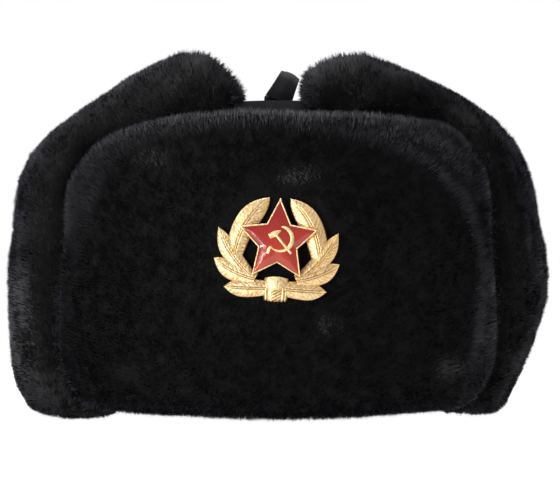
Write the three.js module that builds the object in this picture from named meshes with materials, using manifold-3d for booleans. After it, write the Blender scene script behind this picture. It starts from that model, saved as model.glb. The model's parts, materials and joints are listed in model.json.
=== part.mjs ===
// A winter hat of black plush with its ear flaps tied up over the crown and an enamelled badge on its front flap.
// Millimetres, +Z up, the front facing -Y. The hat rests on the folds of its flaps at z = 0.
import * as THREE from "three";
import { mergeVertices } from "three/addons/utils/BufferGeometryUtils.js";
import Module from "manifold-3d";

const wasm = await Module();
wasm.setup();

// Driving dimensions
const headHalfWidth = 83; // inside the crown at its rim, ear to ear
const headHalfLength = 101; // inside the crown at its rim, front to back
const crownWall = 6; // cloth, wadding and lining together
const crownRim = 10; // height of the crown's lower edge
const crownTop = 135.6; // height of the crown's top
const domePower = 3.9; // 2 is a half ellipse, more is boxier
const crownSeam = 40; // from the middle to each seam of the crown's middle panel
const seamGap = 0.4; // the gap that stands for a seam between two panels
const seat = 0.4; // gap between pieces that lie against each other
const crownGap = 1.3; // gap between the crown and the flaps that lie on it

const halfWidth = headHalfWidth + crownWall;
const halfLength = headHalfLength + crownWall;

// The plan angle is 0 at the front, 90 at the wearer's side that shows on the right, and 180 at the back.
const earToNeckJoin = 129;
const joinGap = 0.5; // degrees on each side of a join between two flaps
const frontSpread = 0.32; // how much further forwards an ear flap spreads on the crown, as a share

// Tables of the flaps. A section row gives the outer face: out from the middle of the hat, up from the floor,
// and thick, measured inwards. An outline row says, at a place across the flap from -1 at its front or left
// edge to 1 at the other, how many millimetres of the section are left off at its end, and how far its fold
// stays above the floor.
const frontSection = [
  { out: 101.5, up: 4.2, thick: 5.4 },
  { out: 108, up: 3.7, thick: 5.9 },
  { out: 114, up: 3.6, thick: 8 },
  { out: 121, up: 7, thick: 13 },
  { out: 125, up: 17, thick: 17 },
  { out: 126.5, up: 40, thick: 18.5 },
  { out: 127, up: 72, thick: 19 },
  { out: 126, up: 98, thick: 18.5 },
  { out: 123, up: 114, thick: 17.5 },
  { out: 118.6, up: 127, thick: 16.5 },
  { out: 112, up: 132.5, thick: 15.5 },
];
const frontOutline = [
  { across: -1, end: 48, floor: 5.2 },
  { across: -0.95, end: 34, floor: 5.2 },
  { across: -0.87, end: 26, floor: 4.8 },
  { across: -0.78, end: 18.5, floor: 4.6 },
  { across: -0.7, end: 15, floor: 4.6 },
  { across: -0.52, end: 9.8, floor: 4.6 },
  { across: -0.35, end: 5.8, floor: 4.2 },
  { across: -0.1, end: 4, floor: 3.6 },
  { across: 0.15, end: 5.4, floor: 3.6 },
  { across: 0.35, end: 5.2, floor: 3.8 },
  { across: 0.52, end: 7, floor: 4.6 },
  { across: 0.7, end: 9.5, floor: 5 },
  { across: 0.78, end: 12, floor: 5.2 },
  { across: 0.87, end: 19, floor: 5.2 },
  { across: 0.95, end: 30, floor: 5.2 },
  { across: 1, end: 44, floor: 5.2 },
];
const rightEarSection = [
  { out: 83.5, up: 3.8, thick: 6.4 },
  { out: 88, up: -0.3, thick: 9.2 },
  { out: 93, up: -0.9, thick: 9.2 },
  { out: 98, up: -0.9, thick: 9.6 },
  { out: 102.4, up: 8, thick: 12.6 },
  { out: 109, up: 22, thick: 19 },
  { out: 115, up: 38, thick: 23.5 },
  { out: 118.8, up: 53, thick: 25.5 },
  { out: 118.7, up: 67, thick: 26 },
  { out: 115.2, up: 84, thick: 25 },
  { out: 111.4, up: 104, thick: 24 },
  { out: 103.8, up: 120, thick: 23 },
  { out: 89.4, up: 133.2, thick: 22 },
  { out: 71, up: 143.2, thick: 21 },
  { out: 52, up: 151.4, thick: 19.5 },
  { out: 38, up: 155.2, thick: 18.4 },
  { out: 25, up: 153.2, thick: 16 },
  { out: 15, up: 149.2, thick: 11 },
  { out: 10.8, up: 143.4, thick: 5 },
  { out: 9.9, up: 139, thick: 1.8 },
];
const leftEarSection = [
  { out: 83.5, up: 3.8, thick: 6.4 },
  { out: 88.5, up: 0.4, thick: 8.6 },
  { out: 95, up: -1, thick: 10 },
  { out: 105.2, up: -1, thick: 17 },
  { out: 113.2, up: 7.5, thick: 21 },
  { out: 117.2, up: 23, thick: 24 },
  { out: 118.6, up: 44, thick: 26 },
  { out: 118.8, up: 62, thick: 26 },
  { out: 116.2, up: 84, thick: 25 },
  { out: 113.6, up: 104, thick: 24 },
  { out: 103.2, up: 120, thick: 23 },
  { out: 85.6, up: 133.2, thick: 22 },
  { out: 68, up: 144.8, thick: 21.5 },
  { out: 53, up: 153, thick: 20.5 },
  { out: 41, up: 156.6, thick: 19.4 },
  { out: 31, up: 154.4, thick: 16.4 },
  { out: 24, up: 148.6, thick: 11 },
  { out: 18.4, up: 142.8, thick: 6 },
  { out: 14, up: 138.4, thick: 1.8 },
];
const rightEarOutline = [
  { across: -1, end: 12, floor: 4.4 },
  { across: -0.9, end: 5, floor: 4 },
  { across: -0.75, end: 2, floor: 3.2 },
  { across: -0.55, end: 2, floor: 1.6 },
  { across: -0.38, end: 2, floor: 0.4 },
  { across: -0.2, end: 1.5, floor: 0 },
  { across: 0.05, end: 0, floor: 0 },
  { across: 0.28, end: 5, floor: 0 },
  { across: 0.45, end: 22, floor: 0 },
  { across: 0.62, end: 56, floor: 0 },
  { across: 0.8, end: 98, floor: 0 },
  { across: 1, end: 138, floor: 0 },
];
const leftEarOutline = rightEarOutline.map((row) => ({
  ...row,
  floor: row.across < -0.8 ? 0.8 * row.floor : row.floor / 4,
}));
const neckSection = [
  { out: 101.5, up: 4.4, thick: 7.2 },
  { out: 106, up: -0.3, thick: 9.4 },
  { out: 113, up: -0.9, thick: 10 },
  { out: 120.5, up: -0.8, thick: 15 },
  { out: 127, up: 9, thick: 19 },
  { out: 130.5, up: 28, thick: 22 },
  { out: 131.5, up: 52, thick: 22.5 },
  { out: 129, up: 78, thick: 21 },
  { out: 124, up: 98, thick: 19 },
];
const neckOutline = [
  { across: -1, end: 10, floor: 0 },
  { across: -0.93, end: 2, floor: 0 },
  { across: -0.7, end: 0, floor: 0 },
  { across: 0, end: 3, floor: 0 },
  { across: 0.7, end: 0, floor: 0 },
  { across: 0.93, end: 2, floor: 0 },
  { across: 1, end: 10, floor: 0 },
];

// Badge sizes, in its own plane: x to the right, y up, z towards the viewer
const badgeCentreUp = 73.4;
const badgeTurn = -3.2; // degrees: it is pinned on slightly askew
const badgeSeatOut = 125; // where the plush is pressed flat behind it
const badgePressRadius = 33;
const leafEdge = 0.7; // thickness at a leaf's edge
const leafRidge = 1.9; // thickness along its midrib
// Each leaf's base and tip, its greatest width, how far its midrib bows outwards, how blunt its tip is, and
// how far it rides up on the leaf above it.
const leaves = [
  { baseX: 16.6, baseY: -6.5, tipX: 3.9, tipY: 17.1, width: 8.8, bow: 2.8, blunt: 3, lift: 0 },
  { baseX: 10.5, baseY: -13, tipX: 23.2, tipY: 4.7, width: 6.9, bow: 1.4, blunt: 2.3, lift: 0.25 },
  { baseX: 8, baseY: -14.6, tipX: 24.3, tipY: -7.3, width: 7.4, bow: 1.2, blunt: 2.3, lift: 0.45 },
  { baseX: 3, baseY: -17.9, tipX: 19.9, tipY: -18.2, width: 7.3, bow: 0.2, blunt: 2.3, lift: 0.6 },
];
const binding = { y: -18.3, tall: 8.2, halfWide: 4.9, deep: 4.4 };
const star = { x: 0.1, y: 0.3, outer: 16.2, inner: 8, wide: 0.99, tall: 1.03, rim: 0.6 };
const starSeat = 2.8; // the star lies on the leaves' ridges
const starFloor = 0.8; // thickness of the metal under the enamel
const starHeight = 2.2; // the rim's and the emblem's height
const enamelHeight = 1.9;
const enamelGap = 0.12;
const prong = { apart: 7, wide: 2.6, thick: 1, long: 13, slotGap: 0.35 };

// Tie tapes
const tapeWidth = 10;
const tapeThick = 1.2;
const tapeGap = 0.45;
const knot = { x: -1, y: 8, long: 10.4, deep: 7, tall: 4.6 };
const loopLean = 25; // degrees to the right

function readTable(rows, key, at, value) {
  let i = 1;
  while (i < rows.length - 1 && rows[i][key] < at) i += 1;
  const slope = (k) => {
    const a = rows[Math.max(k - 1, 0)];
    const b = rows[Math.min(k + 1, rows.length - 1)];
    return (b[value] - a[value]) / (b[key] - a[key]);
  };
  const [a, b] = [rows[i - 1], rows[i]];
  const width = b[key] - a[key];
  const t = THREE.MathUtils.clamp((at - a[key]) / width, 0, 1);
  const rise = b[value] - a[value];
  return (
    a[value] +
    rise * t * t * (3 - 2 * t) +
    width * t * (1 - t) * ((1 - t) * slope(i - 1) - t * slope(i))
  );
}

// A geometry from loops of equal length, each joined to the next, with the first and last closed off.
function loft(loops) {
  const size = loops[0].length;
  const index = [];
  const quad = (a, b, c, d) => index.push(a, b, c, a, c, d);
  for (let i = 0; i < loops.length - 1; i += 1) {
    for (let k = 0; k < size; k += 1) {
      const next = (k + 1) % size;
      quad(i * size + k, i * size + next, (i + 1) * size + next, (i + 1) * size + k);
    }
  }
  const last = (loops.length - 1) * size;
  for (let k = 0; k < size / 2 - 1; k += 1) {
    quad(size - 1 - k, size - 2 - k, k + 1, k);
    quad(last + k, last + k + 1, last + size - 2 - k, last + size - 1 - k);
  }
  return facingOut(fromPoints(loops.flat(), index));
}

function fromPoints(points, index) {
  const geometry = new THREE.BufferGeometry().setFromPoints(points);
  geometry.setIndex(index);
  return geometry;
}

// Turns every face round where the enclosed volume comes out negative.
function facingOut(geometry) {
  const place = geometry.getAttribute("position");
  const corner = [0, 1, 2].map(() => new THREE.Vector3());
  const index = Array.from(geometry.index.array);
  let volume = 0;
  for (let i = 0; i < index.length; i += 3) {
    corner.forEach((point, k) => point.fromBufferAttribute(place, index[i + k]));
    volume += corner[0].dot(corner[1].cross(corner[2]));
  }
  if (volume < 0) {
    for (let i = 0; i < index.length; i += 3) {
      [index[i + 1], index[i + 2]] = [index[i + 2], index[i + 1]];
    }
    geometry.setIndex(index);
  }
  geometry.computeVertexNormals();
  return geometry;
}

function toSolid(geometry) {
  const bare = geometry.clone();
  bare.deleteAttribute("normal");
  bare.deleteAttribute("uv");
  const merged = mergeVertices(bare, 1e-4);
  return new wasm.Manifold(
    new wasm.Mesh({
      numProp: 3,
      vertProperties: merged.getAttribute("position").array,
      triVerts: new Uint32Array(merged.index.array),
    }),
  );
}

function toGeometry(solid) {
  const mesh = solid.getMesh();
  const geometry = new THREE.BufferGeometry();
  geometry.setAttribute("position", new THREE.BufferAttribute(mesh.vertProperties, 3));
  geometry.setIndex(new THREE.BufferAttribute(mesh.triVerts, 1));
  geometry.computeVertexNormals();
  return geometry;
}

function joined(solids) {
  return solids.reduce((whole, solid) => whole.add(solid));
}

// The crown's outer wall at its rim, with its outward direction, at a plan angle in degrees.
function rimAt(angle) {
  const turn = THREE.MathUtils.degToRad(angle);
  const place = new THREE.Vector2(halfWidth * Math.sin(turn), -halfLength * Math.cos(turn));
  const away = new THREE.Vector2(Math.sin(turn) / halfWidth, -Math.cos(turn) / halfLength);
  return { place, away: away.normalize() };
}

// Where the front flap ends and an ear flap begins: a round corner takes it forward near the floor.
function frontJoin(up) {
  const t = THREE.MathUtils.clamp((up - 3.5) / 23, 0, 1);
  const fuller = 3.3 * Math.exp(-(((up - 36) / 24) ** 2));
  return 57.6 + fuller - 13 * (1 - Math.sqrt(1 - (1 - t) * (1 - t)));
}

// A point of a front or neck flap: its section stands square to the rim.
function aroundRim(angle, out, up) {
  const { place, away } = rimAt(angle);
  const offset = out - halfLength;
  return new THREE.Vector3(place.x + away.x * offset, place.y + away.y * offset, up);
}

// A point of an ear flap: its section stands square to the rim below and folds straight across above, where the
// flap spreads forwards and drapes over the crown's shoulder.
function overCrown(angle, out, up) {
  const offset = out - halfWidth;
  if (offset >= 0 || up < crownTop / 2) return aroundRim(angle, out + halfLength - halfWidth, up);
  const { place, away } = rimAt(angle);
  const square = offset * Math.exp(offset / 8);
  const straight = 1 + (offset - square) / halfWidth;
  const x = place.x * straight + away.x * square;
  const y = place.y + away.y * square;
  const folded = THREE.MathUtils.smoothstep(-offset, 8, 40);
  const spread = y < 0 ? y * (1 + frontSpread * folded) : y;
  return new THREE.Vector3(x, spread, up + folded * (crownHeight(x, spread) - crownHeight(x, y)));
}

// Tufts that stand a little proud of the plush, as a share of its thickness.
function tufts(angle, along, seed) {
  return (
    0.022 * Math.sin(0.31 * angle + 0.11 * along + seed) * Math.sin(0.17 * along - 0.05 * angle + 2 * seed) +
    0.018 * Math.sin(0.62 * angle - 0.23 * along + 3 * seed)
  );
}

// How full a rounded edge is at a distance in from it.
function rounded(distance, radius) {
  const t = THREE.MathUtils.clamp(distance / radius, 0, 1);
  return Math.max(Math.sqrt(1 - (1 - t) * (1 - t)), 0.06);
}

// Whether a point lies within the crown's dome with its gap added.
function withinCrown(point) {
  if (point.z < crownRim) return false;
  const flat = Math.hypot(point.x / (halfWidth + crownGap), point.y / (halfLength + crownGap));
  return flat ** domePower + ((point.z - crownRim) / (crownTop + crownGap - crownRim)) ** domePower < 1;
}

// Moves an inner point towards the outer one until it is clear of the crown.
function clearOfCrown(inner, outer) {
  if (!withinCrown(inner)) return inner;
  let [near, far] = [0, 1];
  for (let i = 0; i < 20; i += 1) {
    const middle = (near + far) / 2;
    if (withinCrown(inner.clone().lerp(outer, middle))) near = middle;
    else far = middle;
  }
  return inner.clone().lerp(outer, far);
}

// Distances along a section: steps that line up from place to place, then finer ones into the cut end.
function stepsAlong(stop, whole, steps) {
  const lined = (k) => whole * (k / steps) ** 1.2;
  const endZone = 22;
  let last = 1;
  while (last < steps - 2 && lined(last + 1) < stop - endZone) last += 1;
  const found = [];
  for (let k = 0; k < last; k += 1) found.push(lined(k));
  for (let k = last; k <= steps; k += 1) {
    const t = (k - last) / (steps - last);
    found.push(lined(last) + (stop - lined(last)) * (1 - (1 - t) ** 1.5));
  }
  return found;
}

function flapLoops({ section, outline, edges, place, stations, steps, edgeRadius, seed, seated = false }) {
  const face = new THREE.CatmullRomCurve3(
    section.map((row) => new THREE.Vector3(row.out, row.up, row.thick)),
    false,
    "centripetal",
  );
  face.arcLengthDivisions = 400;
  const whole = face.getLength();
  const loops = [];
  for (let i = 0; i <= stations; i += 1) {
    const v = (2 * i) / stations - 1;
    const across = Math.sign(v) * (1 - (1 - Math.abs(v)) ** 1.45);
    const stop = whole - Math.max(readTable(outline, "across", across, "end"), 0);
    const floor = Math.max(readTable(outline, "across", across, "floor"), 0);
    const outer = [];
    const inner = [];
    for (const along of stepsAlong(stop, whole, steps)) {
      const row = face.getPointAt(along / whole);
      const tangent = face.getTangentAt(along / whole).setZ(0).normalize();
      const angleAt = (up) => {
        const [first, last] = edges(up);
        return (first + last) / 2 + ((last - first) / 2) * across;
      };
      const [first, last] = edges(row.y);
      const toEdge = (1 - Math.abs(across)) * THREE.MathUtils.degToRad((last - first) / 2) * halfLength;
      const half =
        (row.z / 2) *
        rounded(toEdge, edgeRadius) *
        rounded(stop - along, row.z * 0.55);
      const proud = half * (1 + (row.y > 12 ? 2 * tufts(angleAt(row.y), along, seed) : 0));
      const middle = { out: row.x - (tangent.y * row.z) / 2, up: row.y + (tangent.x * row.z) / 2 };
      const point = (reach) => {
        const up = Math.max(middle.up - tangent.x * reach, floor);
        return place(angleAt(up), middle.out + tangent.y * reach, up);
      };
      outer.push(point(proud));
      const under = clearOfCrown(point(-half), point(proud));
      if (seated) under.z -= aboveCrown(under) * THREE.MathUtils.smoothstep(row.y, crownTop - 12, crownTop - 4);
      inner.push(under);
    }
    loops.push([...outer, ...inner.reverse()]);
  }
  return loops;
}

function mirrored(loops) {
  return loops.map((loop) => loop.map((point) => new THREE.Vector3(-point.x, point.y, point.z)));
}

// The plush is pressed back to a plane behind the badge.
function pressed(loops) {
  for (const point of loops.flat()) {
    const away = Math.hypot(point.x, point.z - badgeCentreUp);
    const ease = 3 * THREE.MathUtils.smoothstep(away, badgePressRadius - 6, badgePressRadius + 12);
    if (point.y < -badgeSeatOut - ease) point.y = -badgeSeatOut - ease;
  }
  return loops;
}

function frontFlap() {
  const loops = flapLoops({
    section: frontSection,
    outline: frontOutline,
    edges: (up) => [-frontJoin(up) + joinGap, frontJoin(up) - joinGap],
    place: aroundRim,
    stations: 34,
    steps: 15,
    edgeRadius: 11,
    seed: 1,
  });
  const slots = [-1, 1].map((side) =>
    toSolid(
      new THREE.BoxGeometry(
        prong.wide + 2 * prong.slotGap,
        prong.thick + 2 * prong.slotGap,
        2 * (prong.long + 1),
      )
        .translate(star.x, star.y + (side * prong.apart) / 2, 0)
        .rotateZ(THREE.MathUtils.degToRad(badgeTurn))
        .rotateX(Math.PI / 2)
        .translate(0, -badgeSeatOut, badgeCentreUp),
    ),
  );
  return toGeometry(toSolid(loft(pressed(loops))).subtract(joined(slots)));
}

function earFlap(section, outline, seed) {
  return flapLoops({
    section,
    outline,
    edges: (up) => [frontJoin(up) + joinGap, earToNeckJoin - joinGap],
    place: overCrown,
    stations: 24,
    steps: 23,
    edgeRadius: 12,
    seed,
    seated: true,
  });
}

function neckFlap() {
  return flapLoops({
    section: neckSection,
    outline: neckOutline,
    edges: () => [earToNeckJoin + joinGap, 360 - earToNeckJoin - joinGap],
    place: aroundRim,
    stations: 22,
    steps: 12,
    edgeRadius: 12,
    seed: 5,
  });
}

// One skin of the crown's dome as rings from the rim up, the last one a point on the axis.
function domeRings(across, lengthways, rim, top, turns, rings) {
  const made = [];
  for (let i = 0; i <= rings; i += 1) {
    const t = (Math.PI / 2) * (i / rings);
    const share = Math.cos(t) ** (2 / domePower);
    const up = rim + (top - rim) * Math.sin(t) ** (2 / domePower);
    const ring = [];
    for (let k = 0; k < (i < rings ? turns : 1); k += 1) {
      const angle = (2 * Math.PI * k) / turns;
      ring.push(
        new THREE.Vector3(across * share * Math.sin(angle), -lengthways * share * Math.cos(angle), up),
      );
    }
    made.push(ring);
  }
  return made;
}

function crown() {
  const turns = 40;
  const outside = domeRings(halfWidth, halfLength, crownRim, crownTop, turns, 8);
  const inside = domeRings(headHalfWidth, headHalfLength, crownRim, crownTop - crownWall, turns, 7);
  const rings = [...outside.reverse(), ...inside];
  const starts = rings.map((_, i) => rings.slice(0, i).reduce((sum, ring) => sum + ring.length, 0));
  const index = [];
  for (let i = 0; i < rings.length - 1; i += 1) {
    for (let k = 0; k < turns; k += 1) {
      const next = (k + 1) % turns;
      const [a, b] = [starts[i], starts[i + 1]];
      if (rings[i].length === 1) index.push(a, b + next, b + k);
      else if (rings[i + 1].length === 1) index.push(b, a + k, a + next);
      else index.push(a + k, a + next, b + next, a + k, b + next, b + k);
    }
  }
  return facingOut(fromPoints(rings.flat(), index));
}

// One of the crown's panels, which run from front to back between two seams.
function crownPanel(from, to) {
  const between = new THREE.BoxGeometry(to - from, 400, 400).translate((from + to) / 2, 0, 0);
  return toGeometry(toSolid(crown()).intersect(toSolid(between)));
}

// How far a point hangs above the place where plush lies on the crown under it.
function aboveCrown({ x, y, z }) {
  const onTop = Math.hypot(x / halfWidth, y / halfLength) < 0.8;
  return onTop ? Math.max(z - crownHeight(x, y) - crownGap, 0) : 0;
}

// The height of the crown's outer face over a place in plan.
function crownHeight(x, y) {
  const flat = Math.hypot(x / halfWidth, y / halfLength);
  return crownRim + (crownTop - crownRim) * Math.max(1 - flat ** domePower, 0) ** (1 / domePower);
}

// A flat tape through a few points, its width lying along one direction.
function tape(points, wide, segments) {
  const line = new THREE.CatmullRomCurve3(points, false, "centripetal");
  const loops = [];
  for (let i = 0; i <= segments; i += 1) {
    const centre = line.getPointAt(i / segments);
    const along = line.getTangentAt(i / segments);
    const thick = new THREE.Vector3().crossVectors(along, wide).normalize();
    const side = new THREE.Vector3().crossVectors(thick, along).normalize();
    const corner = (a, b) =>
      centre
        .clone()
        .addScaledVector(side, (a * tapeWidth) / 2)
        .addScaledVector(thick, (b * tapeThick) / 2);
    loops.push([corner(-1, 1), corner(1, 1), corner(1, -1), corner(-1, -1)]);
  }
  return loft(loops);
}

// A tape lying on the crown along a line in plan.
function tapeOnCrown(places, segments) {
  const [first, last] = [places[0], places[places.length - 1]];
  const wide = new THREE.Vector3(first[1] - last[1], last[0] - first[0], 0).normalize();
  const points = places.map(
    ([x, y]) => new THREE.Vector3(x, y, crownHeight(x, y) + tapeGap + tapeThick / 2),
  );
  return tape(points, wide, segments);
}

// The tapes' knot: a squat block with rounded sides.
function knotGeometry() {
  const base = crownHeight(knot.x, knot.y) + tapeGap;
  const loops = [];
  const count = 6;
  for (let i = 0; i <= count; i += 1) {
    const t = (2 * i) / count - 1;
    const full = (1 - Math.abs(t) ** 4) ** 0.25 * 0.55 + 0.45;
    const loop = [];
    for (let k = 0; k < 12; k += 1) {
      const turn = ((k + 0.5) / 12) * 2 * Math.PI;
      const round = (value) => Math.sign(value) * Math.abs(value) ** 0.5;
      const up = (round(Math.sin(turn)) * full * knot.tall) / 2;
      const back = (round(Math.cos(turn)) * full * knot.deep) / 2;
      loop.push(new THREE.Vector3(knot.x + (t * knot.long) / 2, knot.y + back, base + knot.tall / 2 + up));
    }
    loops.push(loop);
  }
  return loft(loops);
}

// The bow's loop stands astride the knot and leans to the right.
function bowLoop() {
  const base = crownHeight(knot.x, knot.y) + tapeGap + 0.9;
  const lean = THREE.MathUtils.degToRad(loopLean);
  const leg = knot.deep / 2 + tapeGap + tapeThick / 2;
  const points = [
    { back: -leg, up: 2.2 },
    { back: -leg - 0.3, up: 6.3 },
    { back: -leg * 0.86, up: 11.6 },
    { back: 0, up: 14.2 },
    { back: leg * 0.86, up: 11.6 },
    { back: leg + 0.3, up: 6.3 },
    { back: leg, up: 2.2 },
  ].map(
    ({ back, up }) =>
      new THREE.Vector3(knot.x + up * Math.sin(lean), knot.y + back, base + up * Math.cos(lean)),
  );
  return tape(points, new THREE.Vector3(Math.cos(lean), 0, -Math.sin(lean)), 14);
}

// One leaf of the wreath: a pointed blade, ridged along its midrib, with a flat back.
function leafSolid({ baseX, baseY, tipX, tipY, width, bow, blunt, lift }) {
  const base = new THREE.Vector2(baseX, baseY);
  const run = new THREE.Vector2(tipX, tipY).sub(base);
  const side = new THREE.Vector2(run.y, -run.x).normalize();
  const loops = [];
  const count = 7;
  for (let i = 0; i <= count; i += 1) {
    const t = 1 - (1 - i / count) ** 1.25;
    const out = (t - 0.5) * 2;
    const full = out > 0 ? 1 - out ** blunt : 1 - 0.25 * out * out;
    const half = Math.max((width / 2) * full, 0.12);
    const centre = base
      .clone()
      .addScaledVector(run, t)
      .addScaledVector(side, bow * 4 * t * (1 - t));
    const edge = leafEdge + lift;
    const ridge = lift + THREE.MathUtils.lerp(leafRidge, leafEdge + 0.4, t ** 3);
    const point = (across, up) =>
      new THREE.Vector3(centre.x + side.x * half * across, centre.y + side.y * half * across, up);
    loops.push([
      point(-1, edge),
      point(-0.5, edge * 0.35 + ridge * 0.65),
      point(0, ridge),
      point(0.5, edge * 0.35 + ridge * 0.65),
      point(1, edge),
      point(1, 0),
      point(0.5, 0),
      point(0, 0),
      point(-0.5, 0),
      point(-1, 0),
    ]);
  }
  return toSolid(loft(loops));
}

function extruded(shape, bottom, top) {
  return toSolid(
    new THREE.ExtrudeGeometry(shape, { depth: top - bottom, bevelEnabled: false, curveSegments: 10 })
      .translate(0, 0, bottom),
  );
}

// The star's outline, each side moved inwards by the same distance.
function starShape(inset) {
  const shape = new THREE.Shape();
  const angle = Math.PI / 5;
  const side = Math.hypot(star.outer - star.inner * Math.cos(angle), star.inner * Math.sin(angle));
  const distance = (star.outer * star.inner * Math.sin(angle)) / side;
  const share = (distance - inset) / distance;
  for (let i = 0; i < 10; i += 1) {
    const radius = (i % 2 ? star.inner : star.outer) * share;
    const x = star.wide * radius * Math.sin(i * angle);
    const y = star.tall * radius * Math.cos(i * angle);
    if (i === 0) shape.moveTo(x, y);
    else shape.lineTo(x, y);
  }
  shape.closePath();
  return shape;
}

// The crossed tools on the star: a sickle's blade and grip, and a hammer's handle and tapered head.
function emblemSolid(grow, bottom, top) {
  const sickle = { x: 0.7, y: 1, radius: 4.7, narrow: 0.45, wide: 1.6 };
  const blade = [];
  const steps = 14;
  for (let i = 0; i <= steps; i += 1) {
    const t = i / steps;
    const spare = THREE.MathUtils.radToDeg(grow / sickle.radius);
    const angle = THREE.MathUtils.degToRad(THREE.MathUtils.lerp(86 + spare, -141 - spare, t));
    const half = (sickle.narrow + (sickle.wide - sickle.narrow) * Math.sin(Math.PI * t ** 0.7)) / 2 + grow;
    const point = (radius, up) =>
      new THREE.Vector3(sickle.x + radius * Math.cos(angle), sickle.y + radius * Math.sin(angle), up);
    blade.push([
      point(sickle.radius + half, top),
      point(sickle.radius - half, top),
      point(sickle.radius - half, bottom),
      point(sickle.radius + half, bottom),
    ]);
  }
  const bar = (x, y, turn, long, wide) =>
    toSolid(
      new THREE.BoxGeometry(long + 2 * grow, wide + 2 * grow, top - bottom)
        .rotateZ(THREE.MathUtils.degToRad(turn))
        .translate(x, y, (top + bottom) / 2),
    );
  const head = new THREE.Shape(
    [
      [-2.5 - grow, 0.95 + grow],
      [-2.5 - grow, -0.95 - grow],
      [-0.4, -1.15 - grow],
      [2.6 + grow, -0.2 - grow],
      [2.6 + grow, 0.2 + grow],
      [-0.4, 1.15 + grow],
    ].map(([along, across]) =>
      new THREE.Vector2(along, across)
        .rotateAround(new THREE.Vector2(), THREE.MathUtils.degToRad(31))
        .add(new THREE.Vector2(-1.3, 2.9)),
    ),
  );
  return joined([
    toSolid(loft(blade)),
    bar(-3.4, -3.5, 68, 3, 1.2),
    bar(2.2, -1.1, -48, 9.2, 1.1),
    extruded(head, bottom, top),
  ]);
}

function wreathGeometry() {
  const knotForm = new THREE.CylinderGeometry(binding.halfWide, binding.halfWide, binding.tall, 16)
    .scale(1, 1, binding.deep / 2 / binding.halfWide)
    .translate(0, binding.y, 1);
  const back = new THREE.BoxGeometry(60, 60, 10).translate(0, 0, -5);
  const right = leaves.map(leafSolid);
  const left = leaves.map((leaf) => leafSolid(leaf).mirror([1, 0, 0]));
  return toGeometry(joined([...right, ...left, toSolid(knotForm)]).subtract(toSolid(back)));
}

function starGeometry() {
  const tray = extruded(starShape(0), 0, starHeight).subtract(
    extruded(starShape(star.rim), starFloor, starHeight + 1),
  );
  const prongs = [-1, 1].map((side) =>
    toSolid(
      new THREE.BoxGeometry(prong.wide, prong.thick, prong.long + starSeat + 0.5).translate(
        0,
        (side * prong.apart) / 2,
        (0.5 - prong.long - starSeat) / 2,
      ),
    ),
  );
  return toGeometry(joined([tray, emblemSolid(0, starFloor - 0.1, starHeight), ...prongs]));
}

function enamelGeometry() {
  return toGeometry(
    extruded(starShape(star.rim + enamelGap), starFloor + enamelGap, enamelHeight).subtract(
      emblemSolid(enamelGap, 0, starHeight + 1),
    ),
  );
}

const plush = new THREE.MeshStandardMaterial({ color: "#17171a", roughness: 0.95 });
const cloth = new THREE.MeshStandardMaterial({ color: "#1b1b20", roughness: 0.9 });
const twill = new THREE.MeshStandardMaterial({ color: "#26262b", roughness: 0.85 });
const brass = new THREE.MeshStandardMaterial({ color: "#e6c27a", roughness: 0.35, metalness: 1 });
const redEnamel = new THREE.MeshStandardMaterial({ color: "#a3170f", roughness: 0.12 });

function named(name, geometry, material) {
  const mesh = new THREE.Mesh(geometry, material);
  mesh.name = name;
  return mesh;
}

function badge() {
  const group = new THREE.Group();
  const raised = new THREE.Group();
  raised.position.set(star.x, star.y, starSeat);
  raised.add(
    named("badge_star", starGeometry(), brass),
    named("badge_enamel", enamelGeometry(), redEnamel),
  );
  group.add(named("badge_wreath", wreathGeometry(), brass), raised);
  group.position.set(0, -badgeSeatOut - seat, badgeCentreUp);
  group.rotation.set(Math.PI / 2, 0, THREE.MathUtils.degToRad(badgeTurn));
  return group;
}

const hat = new THREE.Group();
hat.add(
  named("crown_middle", crownPanel(-crownSeam + seamGap / 2, crownSeam - seamGap / 2), cloth),
  named("crown_side_left", crownPanel(-200, -crownSeam - seamGap / 2), cloth),
  named("crown_side_right", crownPanel(crownSeam + seamGap / 2, 200), cloth),
  named("front_flap", frontFlap(), plush),
  named("ear_flap_right", loft(earFlap(rightEarSection, rightEarOutline, 2)), plush),
  named("ear_flap_left", loft(mirrored(earFlap(leftEarSection, leftEarOutline, 3.5))), plush),
  named("neck_flap", loft(neckFlap()), plush),
  named("tie_left", tapeOnCrown([[-14, 8], [-10, 8], [knot.x - knot.long / 2 - tapeGap, 8]], 3), twill),
  named("tie_right", tapeOnCrown([[10, 8], [7, 8], [knot.x + knot.long / 2 + 2 * tapeGap, 8]], 3), twill),
  named("bow_knot", knotGeometry(), twill),
  named("bow_loop", bowLoop(), twill),
  named("tie_end_left", tapeOnCrown([[-6.6, 15.4], [-9, 26], [-13, 38], [-19, 50]], 10), twill),
  named("tie_end_right", tapeOnCrown([[4.6, 14.9], [7, 27], [10, 40], [16, 54]], 10), twill),
  badge(),
);

// The origin is the middle of the bounding box's underside.
const bounds = new THREE.Box3().setFromObject(hat);
const middle = bounds.getCenter(new THREE.Vector3());
hat.position.set(-middle.x, -middle.y, -bounds.min.z);
hat.updateMatrixWorld(true);

export default hat;
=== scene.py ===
# %% [markdown]
# # A winter hat of black plush
# The hat stands on the folds of its own flaps, which are tied up over the crown. This lesson dresses the
# finished solids: it loads them as a fixed frame, and lays pile, cloth, tape, gilt and enamel over them.

import json
import math

import bpy
import numpy as np
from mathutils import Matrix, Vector, noise
from mathutils.bvhtree import BVHTree

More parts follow.
